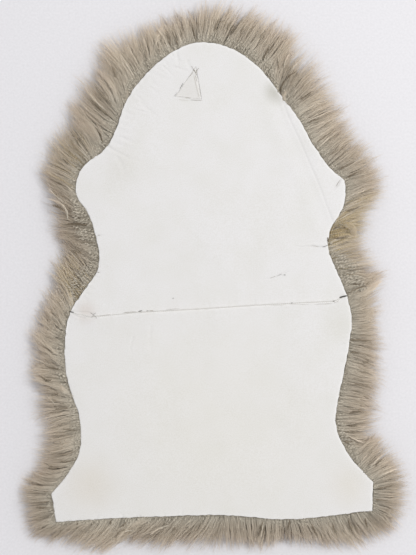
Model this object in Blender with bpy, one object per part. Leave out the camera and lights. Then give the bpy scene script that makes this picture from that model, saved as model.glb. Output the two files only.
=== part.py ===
"""A long-wool sheepskin rug, lying wool side down with its leather side up.

Two tanned panels, joined by a seam across the rug, and a small set-in patch lie on one fleece.
The fleece is a lumpy slab whose rim ends in staggered locks that droop to the floor.

Frame: +X to the right as the rug is seen from above, +Y to its crown (the neck end), +Z up.
The origin is on the floor, under the middle of the rug's outer box.
"""

import math
import random
from collections import namedtuple

import bmesh
import bpy
from mathutils import Vector
from mathutils.geometry import delaunay_2d_cdt

MM = 0.001

# Driving dimensions, in millimetres.
LEATHER_THICK = 1.5       # tanned hide with its shorn roots
CONTACT_GAP = 0.3         # between two pieces that lie on each other
SEAM_HALF_GAP = 0.2       # each panel stops this far from the seam line
SEAM_RIDGE = 1.0          # how far the sewn edges stand up
FLEECE_THICK = 43.0       # under the leather, pressed down by its own weight
LEATHER_POINT_PITCH = 15.0
SOLE_DIMPLE = 7.0         # how far the wool's hollows stay off the floor

RIM_COLUMNS = 240         # cells round the rim; each row of locks takes every second one
SEED = 11

LEATHER_COLOUR = (0.791, 0.783, 0.768, 1.0)
PATCH_COLOUR = (0.760, 0.752, 0.738, 1.0)
WOOL_COLOUR = (0.350, 0.292, 0.223, 1.0)

# The cut edge of the leather, clockwise from the crown. At each place the wool reaches
# reach_mm past the edge, along lie_deg: 0 is +X and 90 is +Y, and the angle runs on clockwise.
Station = namedtuple("Station", "place x_mm y_mm bend reach_mm lie_deg")
EDGE = tuple(
    Station(*row)
    for row in (
        ("crown", -7, 406, "smooth", 71, 91),
        ("crown_right", 39, 391, "smooth", 74, 77),
        ("right_temple", 97, 340, "smooth", 77, 60),
        ("parting", 115, 314, "smooth", 74, 50),
        ("right_cheek", 141, 281, "smooth", 71, 38),
        ("right_neck", 174, 224, "smooth", 68, 34),
        ("brow_above", 203, 186, "smooth", 69, 31),
        ("brow", 225, 168, "corner", 63, 24),
        ("brow_below", 226, 136, "smooth", 60, 20),
        ("notch_above", 197, 70, "smooth", 64, 20),
        ("notch", 196, 57, "smooth", 62, 18),
        ("right_waist", 212, 10, "smooth", 76, 16),
        ("seam_right", 229, -31, "corner", 68, 14),
        ("right_hip", 237, -70, "smooth", 53, 2),
        ("right_flank", 231, -125, "smooth", 57, -3),
        ("right_thigh", 212, -222, "smooth", 65, -7),
        ("right_knee", 209, -246, "smooth", 67, -2),
        ("right_shank", 225, -295, "smooth", 68, 8),
        ("right_heel", 274, -354, "corner", 62, 12),
        ("right_foot", 273, -403, "corner", 52, -40),
        ("hem_right", 118, -418, "smooth", 42, -80),
        ("hem_middle", 23, -411, "smooth", 53, -92),
        ("hem_left", -115, -414, "smooth", 58, -118),
        ("hem_tuft", -168, -416, "smooth", 72, -124),
        ("left_foot", -274, -423, "corner", 51, -136),
        ("left_heel", -282, -374, "corner", 54, -180),
        ("left_shank", -251, -335, "smooth", 62, -181),
        ("left_knee", -235, -306, "smooth", 67, -178),
        ("left_thigh", -232, -255, "smooth", 66, -175),
        ("left_flank", -256, -168, "smooth", 57, -187),
        ("left_hip", -258, -103, "smooth", 56, -190),
        ("seam_left", -249, -60, "smooth", 58, -208),
        ("left_loin", -220, -15, "smooth", 70, -216),
        ("left_waist", -202, 14, "smooth", 79, -212),
        ("left_rib", -205, 70, "smooth", 72, -200),
        ("left_elbow", -221, 115, "smooth", 73, -204),
        ("left_brow_below", -238, 141, "smooth", 68, -206),
        ("left_brow", -238, 170, "smooth", 65, -211),
        ("left_brow_above", -216, 202, "smooth", 75, -222),
        ("left_neck", -197, 215, "smooth", 84, -228),
        ("left_cheek", -141, 324, "smooth", 86, -240),
        ("left_temple", -88, 379, "smooth", 66, -254),
        ("crown_left", -41, 404, "smooth", 56, -264),
    )
)
FULL_TURN = 360.0
CDT_INSIDE = 1            # of a triangulation, keep what lies inside its border
CDT_MERGE = 0.001

# The seam between the two panels, from the left end to the right end.
SeamPoint = namedtuple("SeamPoint", "place x_mm y_mm")
SEAM = tuple(
    SeamPoint(*row)
    for row in (
        ("left_dip", -217, -68),
        ("left_knot", -191, -66),
        ("left_third", -129, -60),
        ("middle", -35, -55),
        ("right_third", 70, -48),
        ("right_end", 206, -41),
    )
)

# The set-in patch near the crown, corner by corner.
PATCH = ((-32, 365), (-22, 308), (-68, 313))

# Soft rises in the leather, each a long low swell turned in the plane.
Swell = namedtuple("Swell", "place x_mm y_mm long_mm wide_mm turn_deg rise_mm")
SWELLS = tuple(
    Swell(*row)
    for row in (
        ("left_shoulder", -140, 235, 90, 40, 62, 1.8),
        ("right_strip", 165, 200, 110, 26, -62, 1.8),
        ("belly", 60, 90, 120, 70, 15, 1.4),
        ("left_pucker", -212, -66, 26, 20, 0, 1.6),
        ("lower_left", -120, -240, 90, 60, 80, 1.8),
        ("lower_right", 165, -150, 120, 40, 84, 1.6),
        ("lower_middle", 30, -330, 110, 50, 5, 1.2),
    )
)

# Faces that aren't a plain band are filled over a lattice of points, this far apart.
LEATHER_LATTICE = 38.0
TOP_LATTICE = 80.0
SOLE_LATTICE = 44.0
LATTICE_MARGIN = 0.42     # points keep this share of the spacing from the outline
SOLE_FLAT = 75.0          # the sole is flat this far from its middle

# Rows of the slab's rim: how far out as a share of the wool's reach, height and lumpiness.
RimRow = namedtuple("RimRow", "place share height_mm lump_mm")
RIM = tuple(
    RimRow(*row)
    for row in (
        ("leather_edge", 0.03, 42.6, 0.0),
        ("shoulder", 0.32, 39.0, 3.0),
        ("rim_top", 0.64, 33.5, 4.0),
        ("rim_middle", 0.70, 18.0, 1.2),
        ("rim_foot", 0.62, 2.5, 0.8),
        ("sole_edge", 0.20, 0.0, 0.0),
    )
)
LOCK_ROWS = (2, 3)        # the locks grow from the rim rows 2 to 3 and 3 to 4

# Stations along a lock: share of the way to its tip, and size of its section there.
LOCK_STEPS = ((0.34, 0.92), (0.70, 0.74), (1.0, 0.30))
LOCK_TIP_HEIGHT = (12.0, 0.0)       # upper row's tips, and the lower row's, which lie on the floor
LOCK_TURN = 6.0                     # degrees a lock may lean to either side
LOCK_LENGTH = (0.90, 1.04)          # a lock's length, as a share of the wool's reach


def clear_scene():
    for thing in list(bpy.data.objects):
        bpy.data.objects.remove(thing)


def material(name, colour, roughness):
    found = bpy.data.materials.new(name)
    found.use_nodes = True
    shader = found.node_tree.nodes["Principled BSDF"]
    shader.inputs["Base Color"].default_value = colour
    shader.inputs["Roughness"].default_value = roughness
    shader.inputs["Metallic"].default_value = 0.0
    return found


def add_object(name, bm, finish):
    """Turn a closed bmesh, worked in millimetres, into an object in metres."""
    bmesh.ops.triangulate(bm, faces=bm.faces)
    bmesh.ops.recalc_face_normals(bm, faces=bm.faces)
    bmesh.ops.scale(bm, vec=(MM, MM, MM), verts=bm.verts)
    mesh = bpy.data.meshes.new(name)
    bm.to_mesh(mesh)
    bm.free()
    mesh.materials.append(finish)
    thing = bpy.data.objects.new(name, mesh)
    bpy.context.collection.objects.link(thing)
    return thing


def station_point(index):
    station = EDGE[index % len(EDGE)]
    return Vector((station.x_mm, station.y_mm))


def slope(index, leaving):
    """Direction of the cut edge at a station, one-sided at a corner."""
    here = station_point(index)
    back = here - station_point(index - 1)
    ahead = station_point(index + 1) - here
    if EDGE[index % len(EDGE)].bend == "corner":
        return (ahead if leaving else back).normalized()
    return (back / back.length ** 2 + ahead / ahead.length ** 2).normalized()


def span_point(index, share):
    """Point of the smooth edge between two stations."""
    start = station_point(index)
    end = station_point(index + 1)
    chord = (end - start).length
    t = share
    return (
        start * (2 * t ** 3 - 3 * t ** 2 + 1)
        + slope(index, True) * chord * (t ** 3 - 2 * t ** 2 + t)
        + end * (3 * t ** 2 - 2 * t ** 3)
        + slope(index + 1, False) * chord * (t ** 3 - t ** 2)
    )


def edge_run(first, last, pitch):
    """Points of the edge from one station to another, both kept, about a pitch apart."""
    points = []
    for index in range(first, last):
        chord = (station_point(index + 1) - station_point(index)).length
        pieces = max(1, round(chord / pitch))
        points += [span_point(index, k / pieces) for k in range(pieces)]
    return points + [station_point(last)]


def wool_at(index, share):
    """Reach of the wool, and its direction, between two stations."""
    here = EDGE[index % len(EDGE)]
    after = EDGE[(index + 1) % len(EDGE)]
    turn = after.lie_deg - here.lie_deg
    if index + 1 == len(EDGE):
        turn -= FULL_TURN
    reach = here.reach_mm + (after.reach_mm - here.reach_mm) * share
    return reach, math.radians(here.lie_deg + turn * share)


def rim_columns(count):
    """Evenly spaced places round the edge: point, reach and direction of the wool."""
    fine = 24
    places = [(index, k / fine) for index in range(len(EDGE)) for k in range(fine)]
    points = [span_point(index, share) for index, share in places]
    run = [0.0]
    for k, point in enumerate(points):
        run.append(run[-1] + (points[(k + 1) % len(points)] - point).length)
    columns = []
    k = 0
    for column in range(count):
        wanted = run[-1] * column / count
        while run[k + 1] <= wanted:
            k += 1
        index, share = places[k]
        share += (wanted - run[k]) / (run[k + 1] - run[k]) / fine
        columns.append((span_point(index, share), *wool_at(index, share)))
    return columns


def heading(angle):
    return Vector((math.cos(angle), math.sin(angle)))


def rise(point):
    """How far the leather's soft swells lift it at a point."""
    height = 0.0
    for swell in SWELLS:
        away = Vector((point[0] - swell.x_mm, point[1] - swell.y_mm))
        turn = math.radians(swell.turn_deg)
        along = away.dot(heading(turn)) / swell.long_mm
        across = away.dot(heading(turn + math.pi / 2)) / swell.wide_mm
        height += swell.rise_mm * math.exp(-(along ** 2 + across ** 2))
    return height


def distance_to(outline, point):
    """Distance from a point to a closed outline, less than zero outside it."""
    nearest = math.inf
    inside = False
    for k, a in enumerate(outline):
        b = outline[k - 1]
        along = b - a
        share = max(0.0, min(1.0, (point - a).dot(along) / along.length_squared))
        nearest = min(nearest, (point - a - along * share).length)
        if (a.y > point.y) != (b.y > point.y):
            crossing = a.x + (point.y - a.y) * along.x / along.y
            inside = inside != (point.x < crossing)
    return nearest if inside else -nearest


def lattice(outline, spacing):
    """Points of a triangular lattice inside an outline, with their row and column in it."""
    row_height = spacing * math.sqrt(3) / 2
    reach = max(max(abs(p.x), abs(p.y)) for p in outline)
    steps = math.ceil(reach / row_height) + 1
    found = []
    for row in range(-steps, steps + 1):
        for column in range(-steps, steps + 1):
            point = Vector(((column + (row % 2) / 2) * spacing, row * row_height))
            if distance_to(outline, point) > spacing * LATTICE_MARGIN:
                found.append((point, row, column))
    return found


def fill(bm, loop, spacing, height):
    """Fill a loop of vertices with triangles over a lattice whose heights a function gives."""
    outline = [vertex.co.xy for vertex in loop]
    inner = lattice(outline, spacing)
    flat = outline + [point for point, _, _ in inner]
    verts = list(loop)
    for point, row, column in inner:
        verts.append(bm.verts.new((point.x, point.y, height(point, row, column))))
    border = [list(range(len(loop)))]
    made = delaunay_2d_cdt(flat, [], border, CDT_INSIDE, CDT_MERGE)
    source = [found[0] for found in made[3]]
    for triangle in made[2]:
        bm.faces.new([verts[source[corner]] for corner in triangle])


def leather_panel(name, edge, seam, finish):
    """A panel between a run of the cut edge and the seam, whose sewn edge stands up a little."""
    outline = [(point, 0.0) for point in edge[1:-1]] + [(point, SEAM_RIDGE) for point in seam]
    bm = bmesh.new()
    faces = []
    for level in (FLEECE_THICK + CONTACT_GAP, FLEECE_THICK + CONTACT_GAP + LEATHER_THICK):
        loop = [bm.verts.new((p.x, p.y, level + rise(p) + ridge)) for p, ridge in outline]
        fill(bm, loop, LEATHER_LATTICE, lambda point, row, column: level + rise(point))
        faces.append(loop)
    band(bm, *faces)
    return add_object(name, bm, finish)


def band(bm, below, above):
    """Join two closed loops of as many vertices with a wall of quads."""
    for k, vertex in enumerate(below):
        after = (k + 1) % len(below)
        bm.faces.new((vertex, below[after], above[after], above[k]))


def seam_line(shift):
    """Seam points from left to right, moved off the seam line towards one panel."""
    places = {station.place: station for station in EDGE}
    line = [places["seam_left"], *SEAM, places["seam_right"]]
    points = []
    for start, end in zip(line, line[1:]):
        a = Vector((start.x_mm, start.y_mm + shift))
        b = Vector((end.x_mm, end.y_mm + shift))
        pieces = max(1, round((b - a).length / LEATHER_POINT_PITCH))
        points += [a.lerp(b, k / pieces) for k in range(pieces)]
    return points + [Vector((line[-1].x_mm, line[-1].y_mm + shift))]


def prism(name, corners, low, high, finish):
    bm = bmesh.new()
    bottom = [bm.verts.new((x, y, low)) for x, y in corners]
    top = [bm.verts.new((x, y, high)) for x, y in corners]
    bm.faces.new(bottom)
    bm.faces.new(top)
    band(bm, bottom, top)
    return add_object(name, bm, finish)


def shrunk(corners, inset):
    """A triangle with each side moved in by an inset."""
    sides = []
    middle = sum((Vector(c) for c in corners), Vector((0, 0))) / len(corners)
    for k, corner in enumerate(corners):
        a = Vector(corner)
        along = (Vector(corners[(k + 1) % len(corners)]) - a).normalized()
        inward = Vector((-along.y, along.x))
        if inward.dot(middle - a) < 0:
            inward.negate()
        sides.append((a + inward * inset, along))
    result = []
    for k, (a, along) in enumerate(sides):
        b, before = sides[k - 1]
        t = (b - a).cross(before) / along.cross(before)
        result.append(tuple(a + along * t))
    return result


def set_in_patch(panel, finish):
    """Cut the patch's place out of the panel, and lay the patch in it."""
    middle = sum((Vector(c) for c in PATCH), Vector((0, 0))) / len(PATCH)
    underside = FLEECE_THICK + CONTACT_GAP + rise(middle)
    cutter = prism("patch_cutter", PATCH, underside - 10.0, underside + 10.0, finish)
    cutter.hide_render = True
    cutter.display_type = "WIRE"
    cut = panel.modifiers.new("patch place", "BOOLEAN")
    cut.operation = "DIFFERENCE"
    cut.object = cutter
    prism("skin_patch", shrunk(PATCH, CONTACT_GAP), underside, underside + LEATHER_THICK, finish)


def lock(bm, cell, tip, floor):
    """Grow one lock from a cell of the rim to its tip, as three tapering sections."""
    base = [vertex.co.copy() for vertex in cell]
    start = sum(base, Vector()) / len(base)
    run = tip - start
    across = Vector((run.y, -run.x, 0)).normalized()
    wide = abs((base[1] - base[0]).dot(across))
    tall = ((base[0] + base[1]) - (base[2] + base[3])).length / 2
    side = across if (base[1] - base[0]).dot(across) > 0 else -across
    ring = list(cell)
    for share, size in LOCK_STEPS:
        half_wide = side * (wide * size / 2)
        half_tall = Vector((0, 0, tall * size / 2))
        middle = start + run * share
        middle.z = start.z + run.z * share ** 1.6
        middle.z = max(middle.z, floor + half_tall.z)
        corners = (
            middle - half_wide + half_tall,
            middle + half_wide + half_tall,
            middle + half_wide - half_tall,
            middle - half_wide - half_tall,
        )
        after = [bm.verts.new(corner) for corner in corners]
        for k, vertex in enumerate(ring):
            beside = (k + 1) % len(ring)
            bm.faces.new((vertex, ring[beside], after[beside], after[k]))
        ring = after
    bm.faces.new(ring)


def fleece(finish):
    """The wool: a lumpy slab with a flat top and sole, and a rim of staggered drooping locks."""
    dice = random.Random(SEED)
    columns = rim_columns(RIM_COLUMNS)
    bm = bmesh.new()
    lumps = [dice.uniform(-1, 1) for _ in columns]
    rows = []
    for row in RIM:
        loop = []
        for (point, reach, lie), lump in zip(columns, lumps):
            place = point + heading(lie) * reach * row.share
            loop.append(bm.verts.new((place.x, place.y, row.height_mm + lump * row.lump_mm)))
        rows.append(loop)
    for level, (upper, lower) in enumerate(zip(rows, rows[1:])):
        for k, (point, reach, lie) in enumerate(columns):
            after = (k + 1) % RIM_COLUMNS
            cell = (upper[k], upper[after], lower[after], lower[k])
            if level in LOCK_ROWS and (k + level) % 2 == 0:
                length = reach * dice.uniform(*LOCK_LENGTH)
                turn = math.radians(dice.uniform(-1, 1) * LOCK_TURN)
                middle = (point + columns[after][0]) / 2
                end = middle + heading(lie + turn) * length
                tip = Vector((end.x, end.y, LOCK_TIP_HEIGHT[LOCK_ROWS.index(level)]))
                lock(bm, cell, tip, 0.0)
            else:
                bm.faces.new(cell)
    fill(bm, rows[0], TOP_LATTICE, lambda point, row, column: FLEECE_THICK)
    fill(bm, rows[-1], SOLE_LATTICE, sole_height)
    return add_object("fleece", bm, finish)


def sole_height(point, row, column):
    """The sole rests on flat pads, with one hollow in the wool for each three places."""
    hollow = (column - row // 2 + 2 * row) % 3 == 0
    return SOLE_DIMPLE if hollow and point.length > SOLE_FLAT else 0.0


def build():
    clear_scene()
    leather = material("tanned leather, flesh side", LEATHER_COLOUR, 0.62)
    patch_leather = material("tanned leather, patch", PATCH_COLOUR, 0.64)
    wool = material("long wool", WOOL_COLOUR, 0.9)

    names = [station.place for station in EDGE]
    right = names.index("seam_right")
    left = names.index("seam_left")
    upper_edge = edge_run(left, right + len(EDGE), LEATHER_POINT_PITCH)
    lower_edge = edge_run(right, left, LEATHER_POINT_PITCH)
    above = seam_line(SEAM_HALF_GAP)
    below = seam_line(-SEAM_HALF_GAP)

    upper = leather_panel("skin_upper", upper_edge, above[::-1], leather)
    leather_panel("skin_lower", lower_edge, below, leather)
    set_in_patch(upper, patch_leather)
    fleece(wool)


build()
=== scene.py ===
"""The looks of the sheepskin rug: tanned leather sheets on a fleece of combed, crimped locks.

The leather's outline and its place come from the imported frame. Angles run counter-clockwise from
+X as the rug is seen from above, and positions on the rug are in millimetres until a mesh is made.
"""

import math
from collections import namedtuple

import bmesh
import bpy
import numpy as np
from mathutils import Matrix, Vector
from mathutils.bvhtree import BVHTree
from mathutils.geometry import delaunay_2d_cdt


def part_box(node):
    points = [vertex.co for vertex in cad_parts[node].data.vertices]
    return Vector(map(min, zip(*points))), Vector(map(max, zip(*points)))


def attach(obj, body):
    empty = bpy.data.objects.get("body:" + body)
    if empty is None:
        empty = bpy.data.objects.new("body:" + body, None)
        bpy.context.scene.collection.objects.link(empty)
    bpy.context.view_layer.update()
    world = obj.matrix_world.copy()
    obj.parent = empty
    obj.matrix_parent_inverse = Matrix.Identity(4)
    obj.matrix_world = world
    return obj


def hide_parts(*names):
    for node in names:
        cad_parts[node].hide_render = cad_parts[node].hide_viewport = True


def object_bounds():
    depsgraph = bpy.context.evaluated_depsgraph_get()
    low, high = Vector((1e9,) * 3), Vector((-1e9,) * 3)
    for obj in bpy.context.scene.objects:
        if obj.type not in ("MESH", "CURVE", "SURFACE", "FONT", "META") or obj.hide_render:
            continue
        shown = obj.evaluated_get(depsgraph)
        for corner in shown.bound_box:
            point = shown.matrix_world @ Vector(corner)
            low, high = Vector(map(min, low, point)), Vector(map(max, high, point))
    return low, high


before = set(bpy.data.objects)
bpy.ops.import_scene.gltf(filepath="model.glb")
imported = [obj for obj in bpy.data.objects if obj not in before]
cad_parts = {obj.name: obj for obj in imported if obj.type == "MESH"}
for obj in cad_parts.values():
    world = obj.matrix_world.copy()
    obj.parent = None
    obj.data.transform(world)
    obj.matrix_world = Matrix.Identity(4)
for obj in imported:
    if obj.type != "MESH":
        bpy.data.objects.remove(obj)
cad_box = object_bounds()

MM = 0.001
FULL_TURN = 360.0
UP = (0.0, 0.0, 1.0)
TINY = 1e-9                 # keeps a vector of no length from being divided by zero
POINTS_AT_ONCE = 400        # whose distances are worked out together, for the memory's sake

# Seeds. The coats' own was kept after renders with seven of them had been compared.
SEED = 4711
STITCH_SEED = SEED + 1
UPPER_SEED = SEED + 2
LOWER_SEED = SEED + 3
FLOW_SEED = SEED + 21
CLOUD_SEED = SEED + 22
LEAN_SEED = SEED + 23
COAT_SEED = 100             # and one more for each coat after the first

# The photograph's view: straight down, a little left of the rug's middle.
CAMERA_HEIGHT = 4.2         # metres above the floor
CAMERA_X = -0.0112
VIEW_HEIGHT = 0.9585        # metres of leather from the picture's top to its bottom
SENSOR = 36.0

# The studio, in metres and watts
FLOOR_HALF = 4.0
SKY_STRENGTH = 0.695
SOFTBOX_PLACE = (1.5, 0.8, 3.4)
SOFTBOX_SIZE = 1.1
SOFTBOX_WATTS = 72.0

# Leather sheets
LEATHER_THICK = 1.3
EDGE_STEP = 3.0             # between points of the cut edge
LEATHER_LATTICE = 5.5       # between points inside it
CORNER_TURN = 26.0          # a turn of the outline past this many degrees is a real corner
CDT_INSIDE = 1              # the triangulation's way to keep only what is inside the outline
CDT_NEAR = 1e-4             # points nearer than this are one point for it
WELD = 1e-6                 # the same, in metres, for the frame's points
UPWARD = 0.7                # a face whose normal points up more than this is part of the top
BESIDE_EDGE = 3.0           # how far in from the cut edge the leather's height is looked up
SEAM_NEAR = 1.0             # outline points this near the other panel are on the seam
RIM_ROWS = (1.3, 3.0, 5.5)  # rows of points beside the cut edge
CROWDED = 0.85              # share of a row's distance that its points keep from the outline
CREASE_STEP = 2.2           # between points along a crease
ROWS_OF_CREASE = (0, -0.8, 0.8, -1.6, 1.6, -2.6, 2.6)   # in its half widths
LEAST_APART = 0.4           # between the points of such rows
ROWS_CLEAR = 0.45           # share of the lattice's spacing that it keeps from them
RIM_CLEAR = 0.6             # between the cut edge and any other point
SWELL_MM = 0.35             # how far the hide rises and falls over the wool
RIPPLE_MM = 0.22            # how far the cut edge ripples, and how far in
RIPPLE_REACH = 7.0
EDGE_DROP = 0.9             # how far the cut edge curls down, and how far in
EDGE_DROP_REACH = 2.2
CREASE_BANK = 0.35          # share of a crease's depth that its banks stand up by
RIM_HIGHLIGHT_FADE = 1.6              # how far in the painted highlight along the cut edge reaches
SEAM_RIDGE = 0.3            # height of the rolled edges beside the seam
SEAM_DIP = 0.25             # and depth of the seam between them
SEAM_STITCH = 3.4           # from one stitch to the next
THREAD_WIDE = 0.45          # of the seam's thread, which stands up as far
THREAD_END = 0.55           # share of a thread's width at its ends
STITCH_POINTS = 6
STITCH_SINKS = 0.5          # how far a stitch's ends go into the hide
STITCH_ABOVE = 0.3          # between the frame's plain sheet and the level of the stitches
TUBE_SIDES = 6
SEAM_HALF_GAP = 0.2         # between the frame's panels, from the middle of the seam
SEAM_DRAW = 0.12            # how far the stitches draw each panel into that gap
PATCH_DRAW = 0.13           # the same round the patch
UNEVEN_CUT = 0.45           # how far the cut edge wanders
CUT_WAVES_MM = (61, 43, 29, 19, 13)
CALM_BY_SEAM = 12.0         # from here to the seam it wanders less and less
WRINKLE_DEPTHS = (0.3, 0.9)
WRINKLE_HALVES = (1.4, 3.4)

# Creases in the hide, placed after the photograph. Each is depth_mm deep and half_mm wide to
# each side, and its depth goes from the start share to the end share of that along its points.
Crease = namedtuple("Crease", "name depth_mm half_mm start end points")
CREASES = (
    Crease(
        "long_fold", 0.8, 1.8, 0.7, 0.7,
        ((118, 303), (129, 274), (148, 234), (163, 199), (178, 165), (205, 94)),
    ),
    Crease(
        "fold_rise", 1.4, 11.0, 0.9, 0.6,
        ((111, 298), (121, 270), (140, 230), (155, 195), (170, 161), (195, 96)),
    ),
    Crease(
        "notch_slit", 1.8, 1.0, 1.0, 0.2,
        ((197, 56), (190, 53), (181, 53), (168, 55), (150, 53), (142, 54)),
    ),
    Crease("notch_pull", 0.7, 1.5, 0.5, 0.2, ((186, 61), (160, 60), (146, 58))),
    Crease("mended_slit", 1.0, 0.9, 0.4, 1.0, ((85, -3), (98, -1), (112, 4), (120, 8), (127, 11))),
    Crease("brow_slit", 1.8, 1.4, 0.6, 1.0, ((207, 154), (213, 160), (218, 170))),
    Crease(
        "neck_crease", 1.3, 2.2, 1.0, 0.2,
        ((-187, 230), (-178, 222), (-162, 214), (-146, 205), (-132, 203)),
    ),
    Crease("nape_crease", 0.8, 2.6, 0.8, 0.1, ((-168, 207), (-160, 196), (-156, 180), (-147, 168))),
    Crease("waist_mark", 0.9, 1.2, 1.0, 0.3, ((-202, 73), (-196, 73), (-190, 72))),
    Crease("belly_mark", 1.0, 1.3, 1.0, 0.2, ((-201, 9), (-196, 7))),
    Crease(
        "second_line", 0.6, 0.9, 0.5, 1.0,
        ((96, -49), (120, -47), (148, -47), (180, -46), (203, -45.5), (212, -43), (224, -36)),
    ),
    Crease("tuck_above", 1.0, 1.3, 1.0, 0.8, ((-247, -59), (-235, -60), (-220, -60), (-208, -64))),
    Crease(
        "tuck_below", 1.2, 1.4, 1.0, 1.0,
        ((-247, -62), (-236, -68), (-222, -71), (-209, -71), (-200, -67)),
    ),
    Crease("streak_left", 0.5, 1.8, 1.0, 0.3, ((-141, -103), (-146, -121), (-143, -131))),
    Crease("streak_right", 0.45, 2.4, 1.0, 0.3, ((-110, -85), (-113, -110), (-108, -135))),
    Crease("rise_mark", 0.4, 1.0, 0.2, 1.0, ((69, -31), (69, -46))),
)
# Runs of the cut edge, by two points of it, with short creases that run in from it.
WRINKLED_RUNS = (
    ((-185, 240), (-60, 398), 30, 62, 10),
    ((-254, -76), (-256, -170), 7, 22, 0),
    ((-60, -410), (-225, -418), 8, 18, 0),
    ((120, 305), (196, 196), 14, 20, 0),
    ((226, -80), (236, -150), 5, 20, 0),
    ((-200, 20), (-232, -33), 6, 20, 0),
)
# Soft stains in the hide, and patches of painted shade: the place, how far each reaches, its colour,
# and its share at the middle.
Stain = namedtuple("Stain", "x_mm y_mm reach_mm colour share")
STAIN_AND_SHADE_HEIGHT = 44.0         # of the middles of the stains and shade, near the leather's top
STAINS_AND_SHADE = (
    Stain(-215, -360, 75, "#d2cbbf", 0.50),
    Stain(232, -360, 60, "#d0c9ba", 0.35),
    # painted shade inside the right edge, where it curls down
    Stain(218, -78, 52, "#c8c7ba", 0.35),
    Stain(-222, -60, 30, "#c9bfb6", 0.50),
    Stain(0, -290, 330, "#dad8cf", 0.45),
    # painted shadow of the wool that hangs over the leather's edge by the parting
    Stain(107, 322, 31, "#aaa89c", 0.62),
    # painted shade among the creases by the neck
    Stain(-158, 188, 60, "#cfcdc6", 0.30),
    # painted shade on the strip between the long fold and the cut edge
    Stain(186, 250, 60, "#d2d1cc", 0.35),
)
# Threads that show: from x0, y0 to x1, y1, how wide, how far they stand up, and how far they bow.
SEWN_MARKS = (
    ("thread_dark", "dark", (
        (-54.5, 336.0, -60.0, 325.5, 0.58, 0.4, 0.3), (-65.0, 319.5, -70.0, 312.5, 0.22, 0.3, 0.0),
        (-131.5, -58.8, -124.5, -57.5, 1.0, 0.4, 0.2), (-117.5, -57.8, -114.0, -57.3, 0.7, 0.4, 0.0),
        (132.0, -44.6, 135.0, -43.6, 0.8, 0.5, 0.0), (204.5, -41.3, 208.0, -39.8, 0.8, 0.5, 0.0),
        (119.5, 4.6, 123.0, 4.4, 0.7, 0.5, 0.0), (-72.4, -36.0, -70.4, -35.6, 0.8, 0.4, 0.0),
        (-214.0, -61.0, -203.0, -70.5, 0.42, 0.4, 0.5), (-205.0, -60.5, -212.5, -70.0, 0.32, 0.5, -0.3),
        (216.0, -34.6, 229.0, -31.5, 2.3, 0.4, 0.3), (-251.0, -58.0, -243.0, -60.5, 1.1, 0.4, 0.0),
        (108.0, 2.6, 117.0, 6.2, 0.3, 0.4, 0.3), (196.0, 56.0, 187.0, 53.0, 0.55, 0.3, 0.4),
    )),
    ("thread_brown_and_crease_shade", "brown", (
        (-37.0, 355.0, -44.5, 346.0, 0.3, 0.4, 0.5), (-32.5, 353.5, -27.0, 362.0, 0.42, 0.5, 0.4),
        (-40.0, 365.5, -31.5, 353.0, 0.35, 0.5, -0.4), (-36.0, 360.0, -31.0, 349.0, 0.5, 0.5, 0.6),
        (-51.0, 310.5, -41.5, 309.8, 0.3, 0.3, 0.0), (-41.0, 307.0, -21.5, 306.3, 0.42, 0.3, -0.3),
        (-33.0, 349.0, -30.0, 338.0, 0.3, 0.3, 0.3), (-27.0, 328.0, -23.0, 313.0, 0.16, 0.3, 0.2),
        (-157.0, -60.5, -135.0, -59.3, 0.4, 0.3, 0.2), (-112.5, -57.6, -106.0, -57.0, 0.5, 0.4, 0.0),
        (-196.0, -66.5, -180.0, -63.5, 0.2, 0.3, 0.2), (-84.0, -55.6, -60.0, -54.0, 0.2, 0.3, 0.2),
        (98.0, -48.6, 124.0, -47.0, 0.16, 0.3, 0.0), (130.0, -47.0, 166.0, -46.4, 0.15, 0.3, 0.0),
        (172.0, -46.2, 204.0, -45.2, 0.25, 0.3, 0.0), (206.0, -44.4, 216.0, -40.0, 0.25, 0.3, 0.3),
        # Painted shade, as brown strands in creases: (210, 157) in the brow slit, (-202, 73) and (-203.5,
        # 10) in the waist and belly marks.
        (210.0, 157.0, 217.0, 168.0, 0.45, 0.2, 0.4), (180.0, 53.4, 168.0, 55.0, 0.25, 0.3, 0.2),
        (96.0, -1.2, 106.0, 2.0, 0.25, 0.3, 0.2), (-202.0, 73.0, -197.0, 73.0, 0.4, 0.2, 0.0),
        (-203.5, 10.0, -199.0, 8.5, 0.7, 0.2, 0.0),
    )),
    ("thread_pale", "pale", (
        (-35.5, 350.0, -26.0, 311.0, 0.5, 0.3, -0.4), (-62.0, 307.5, -45.0, 305.5, 0.4, 0.3, 0.0),
    )),
)

# Fleece
STRAND_TONES = 0.74         # tones up to this are clean wool, from dark to light
STAIN_FROM = 0.84           # tones from here on are yellowed wool, from dark to light
STAIN_SPAN = 0.12
TONE_MARGIN = 0.02          # kept from the ends of the clean wool's tones
CRIMPS = 15.0               # waves of crimp from root to tip, about 5 mm each
BAND_PAINTED_LIGHT_AND_SHADE = 0.13            # how much the crimp's cross bands of painted light and shade change the tone at the root
BAND_END = 0.75             # and where, from root to tip, they have faded
V_ROOT = 0.01               # a fibre's map runs from here
V_TIP = 0.92                # to here
V_SHIFT = 0.96              # share of a wave that a lock's crimp is shifted by at most
U_HALF = 0.004              # half of a fibre's width on its map
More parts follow.
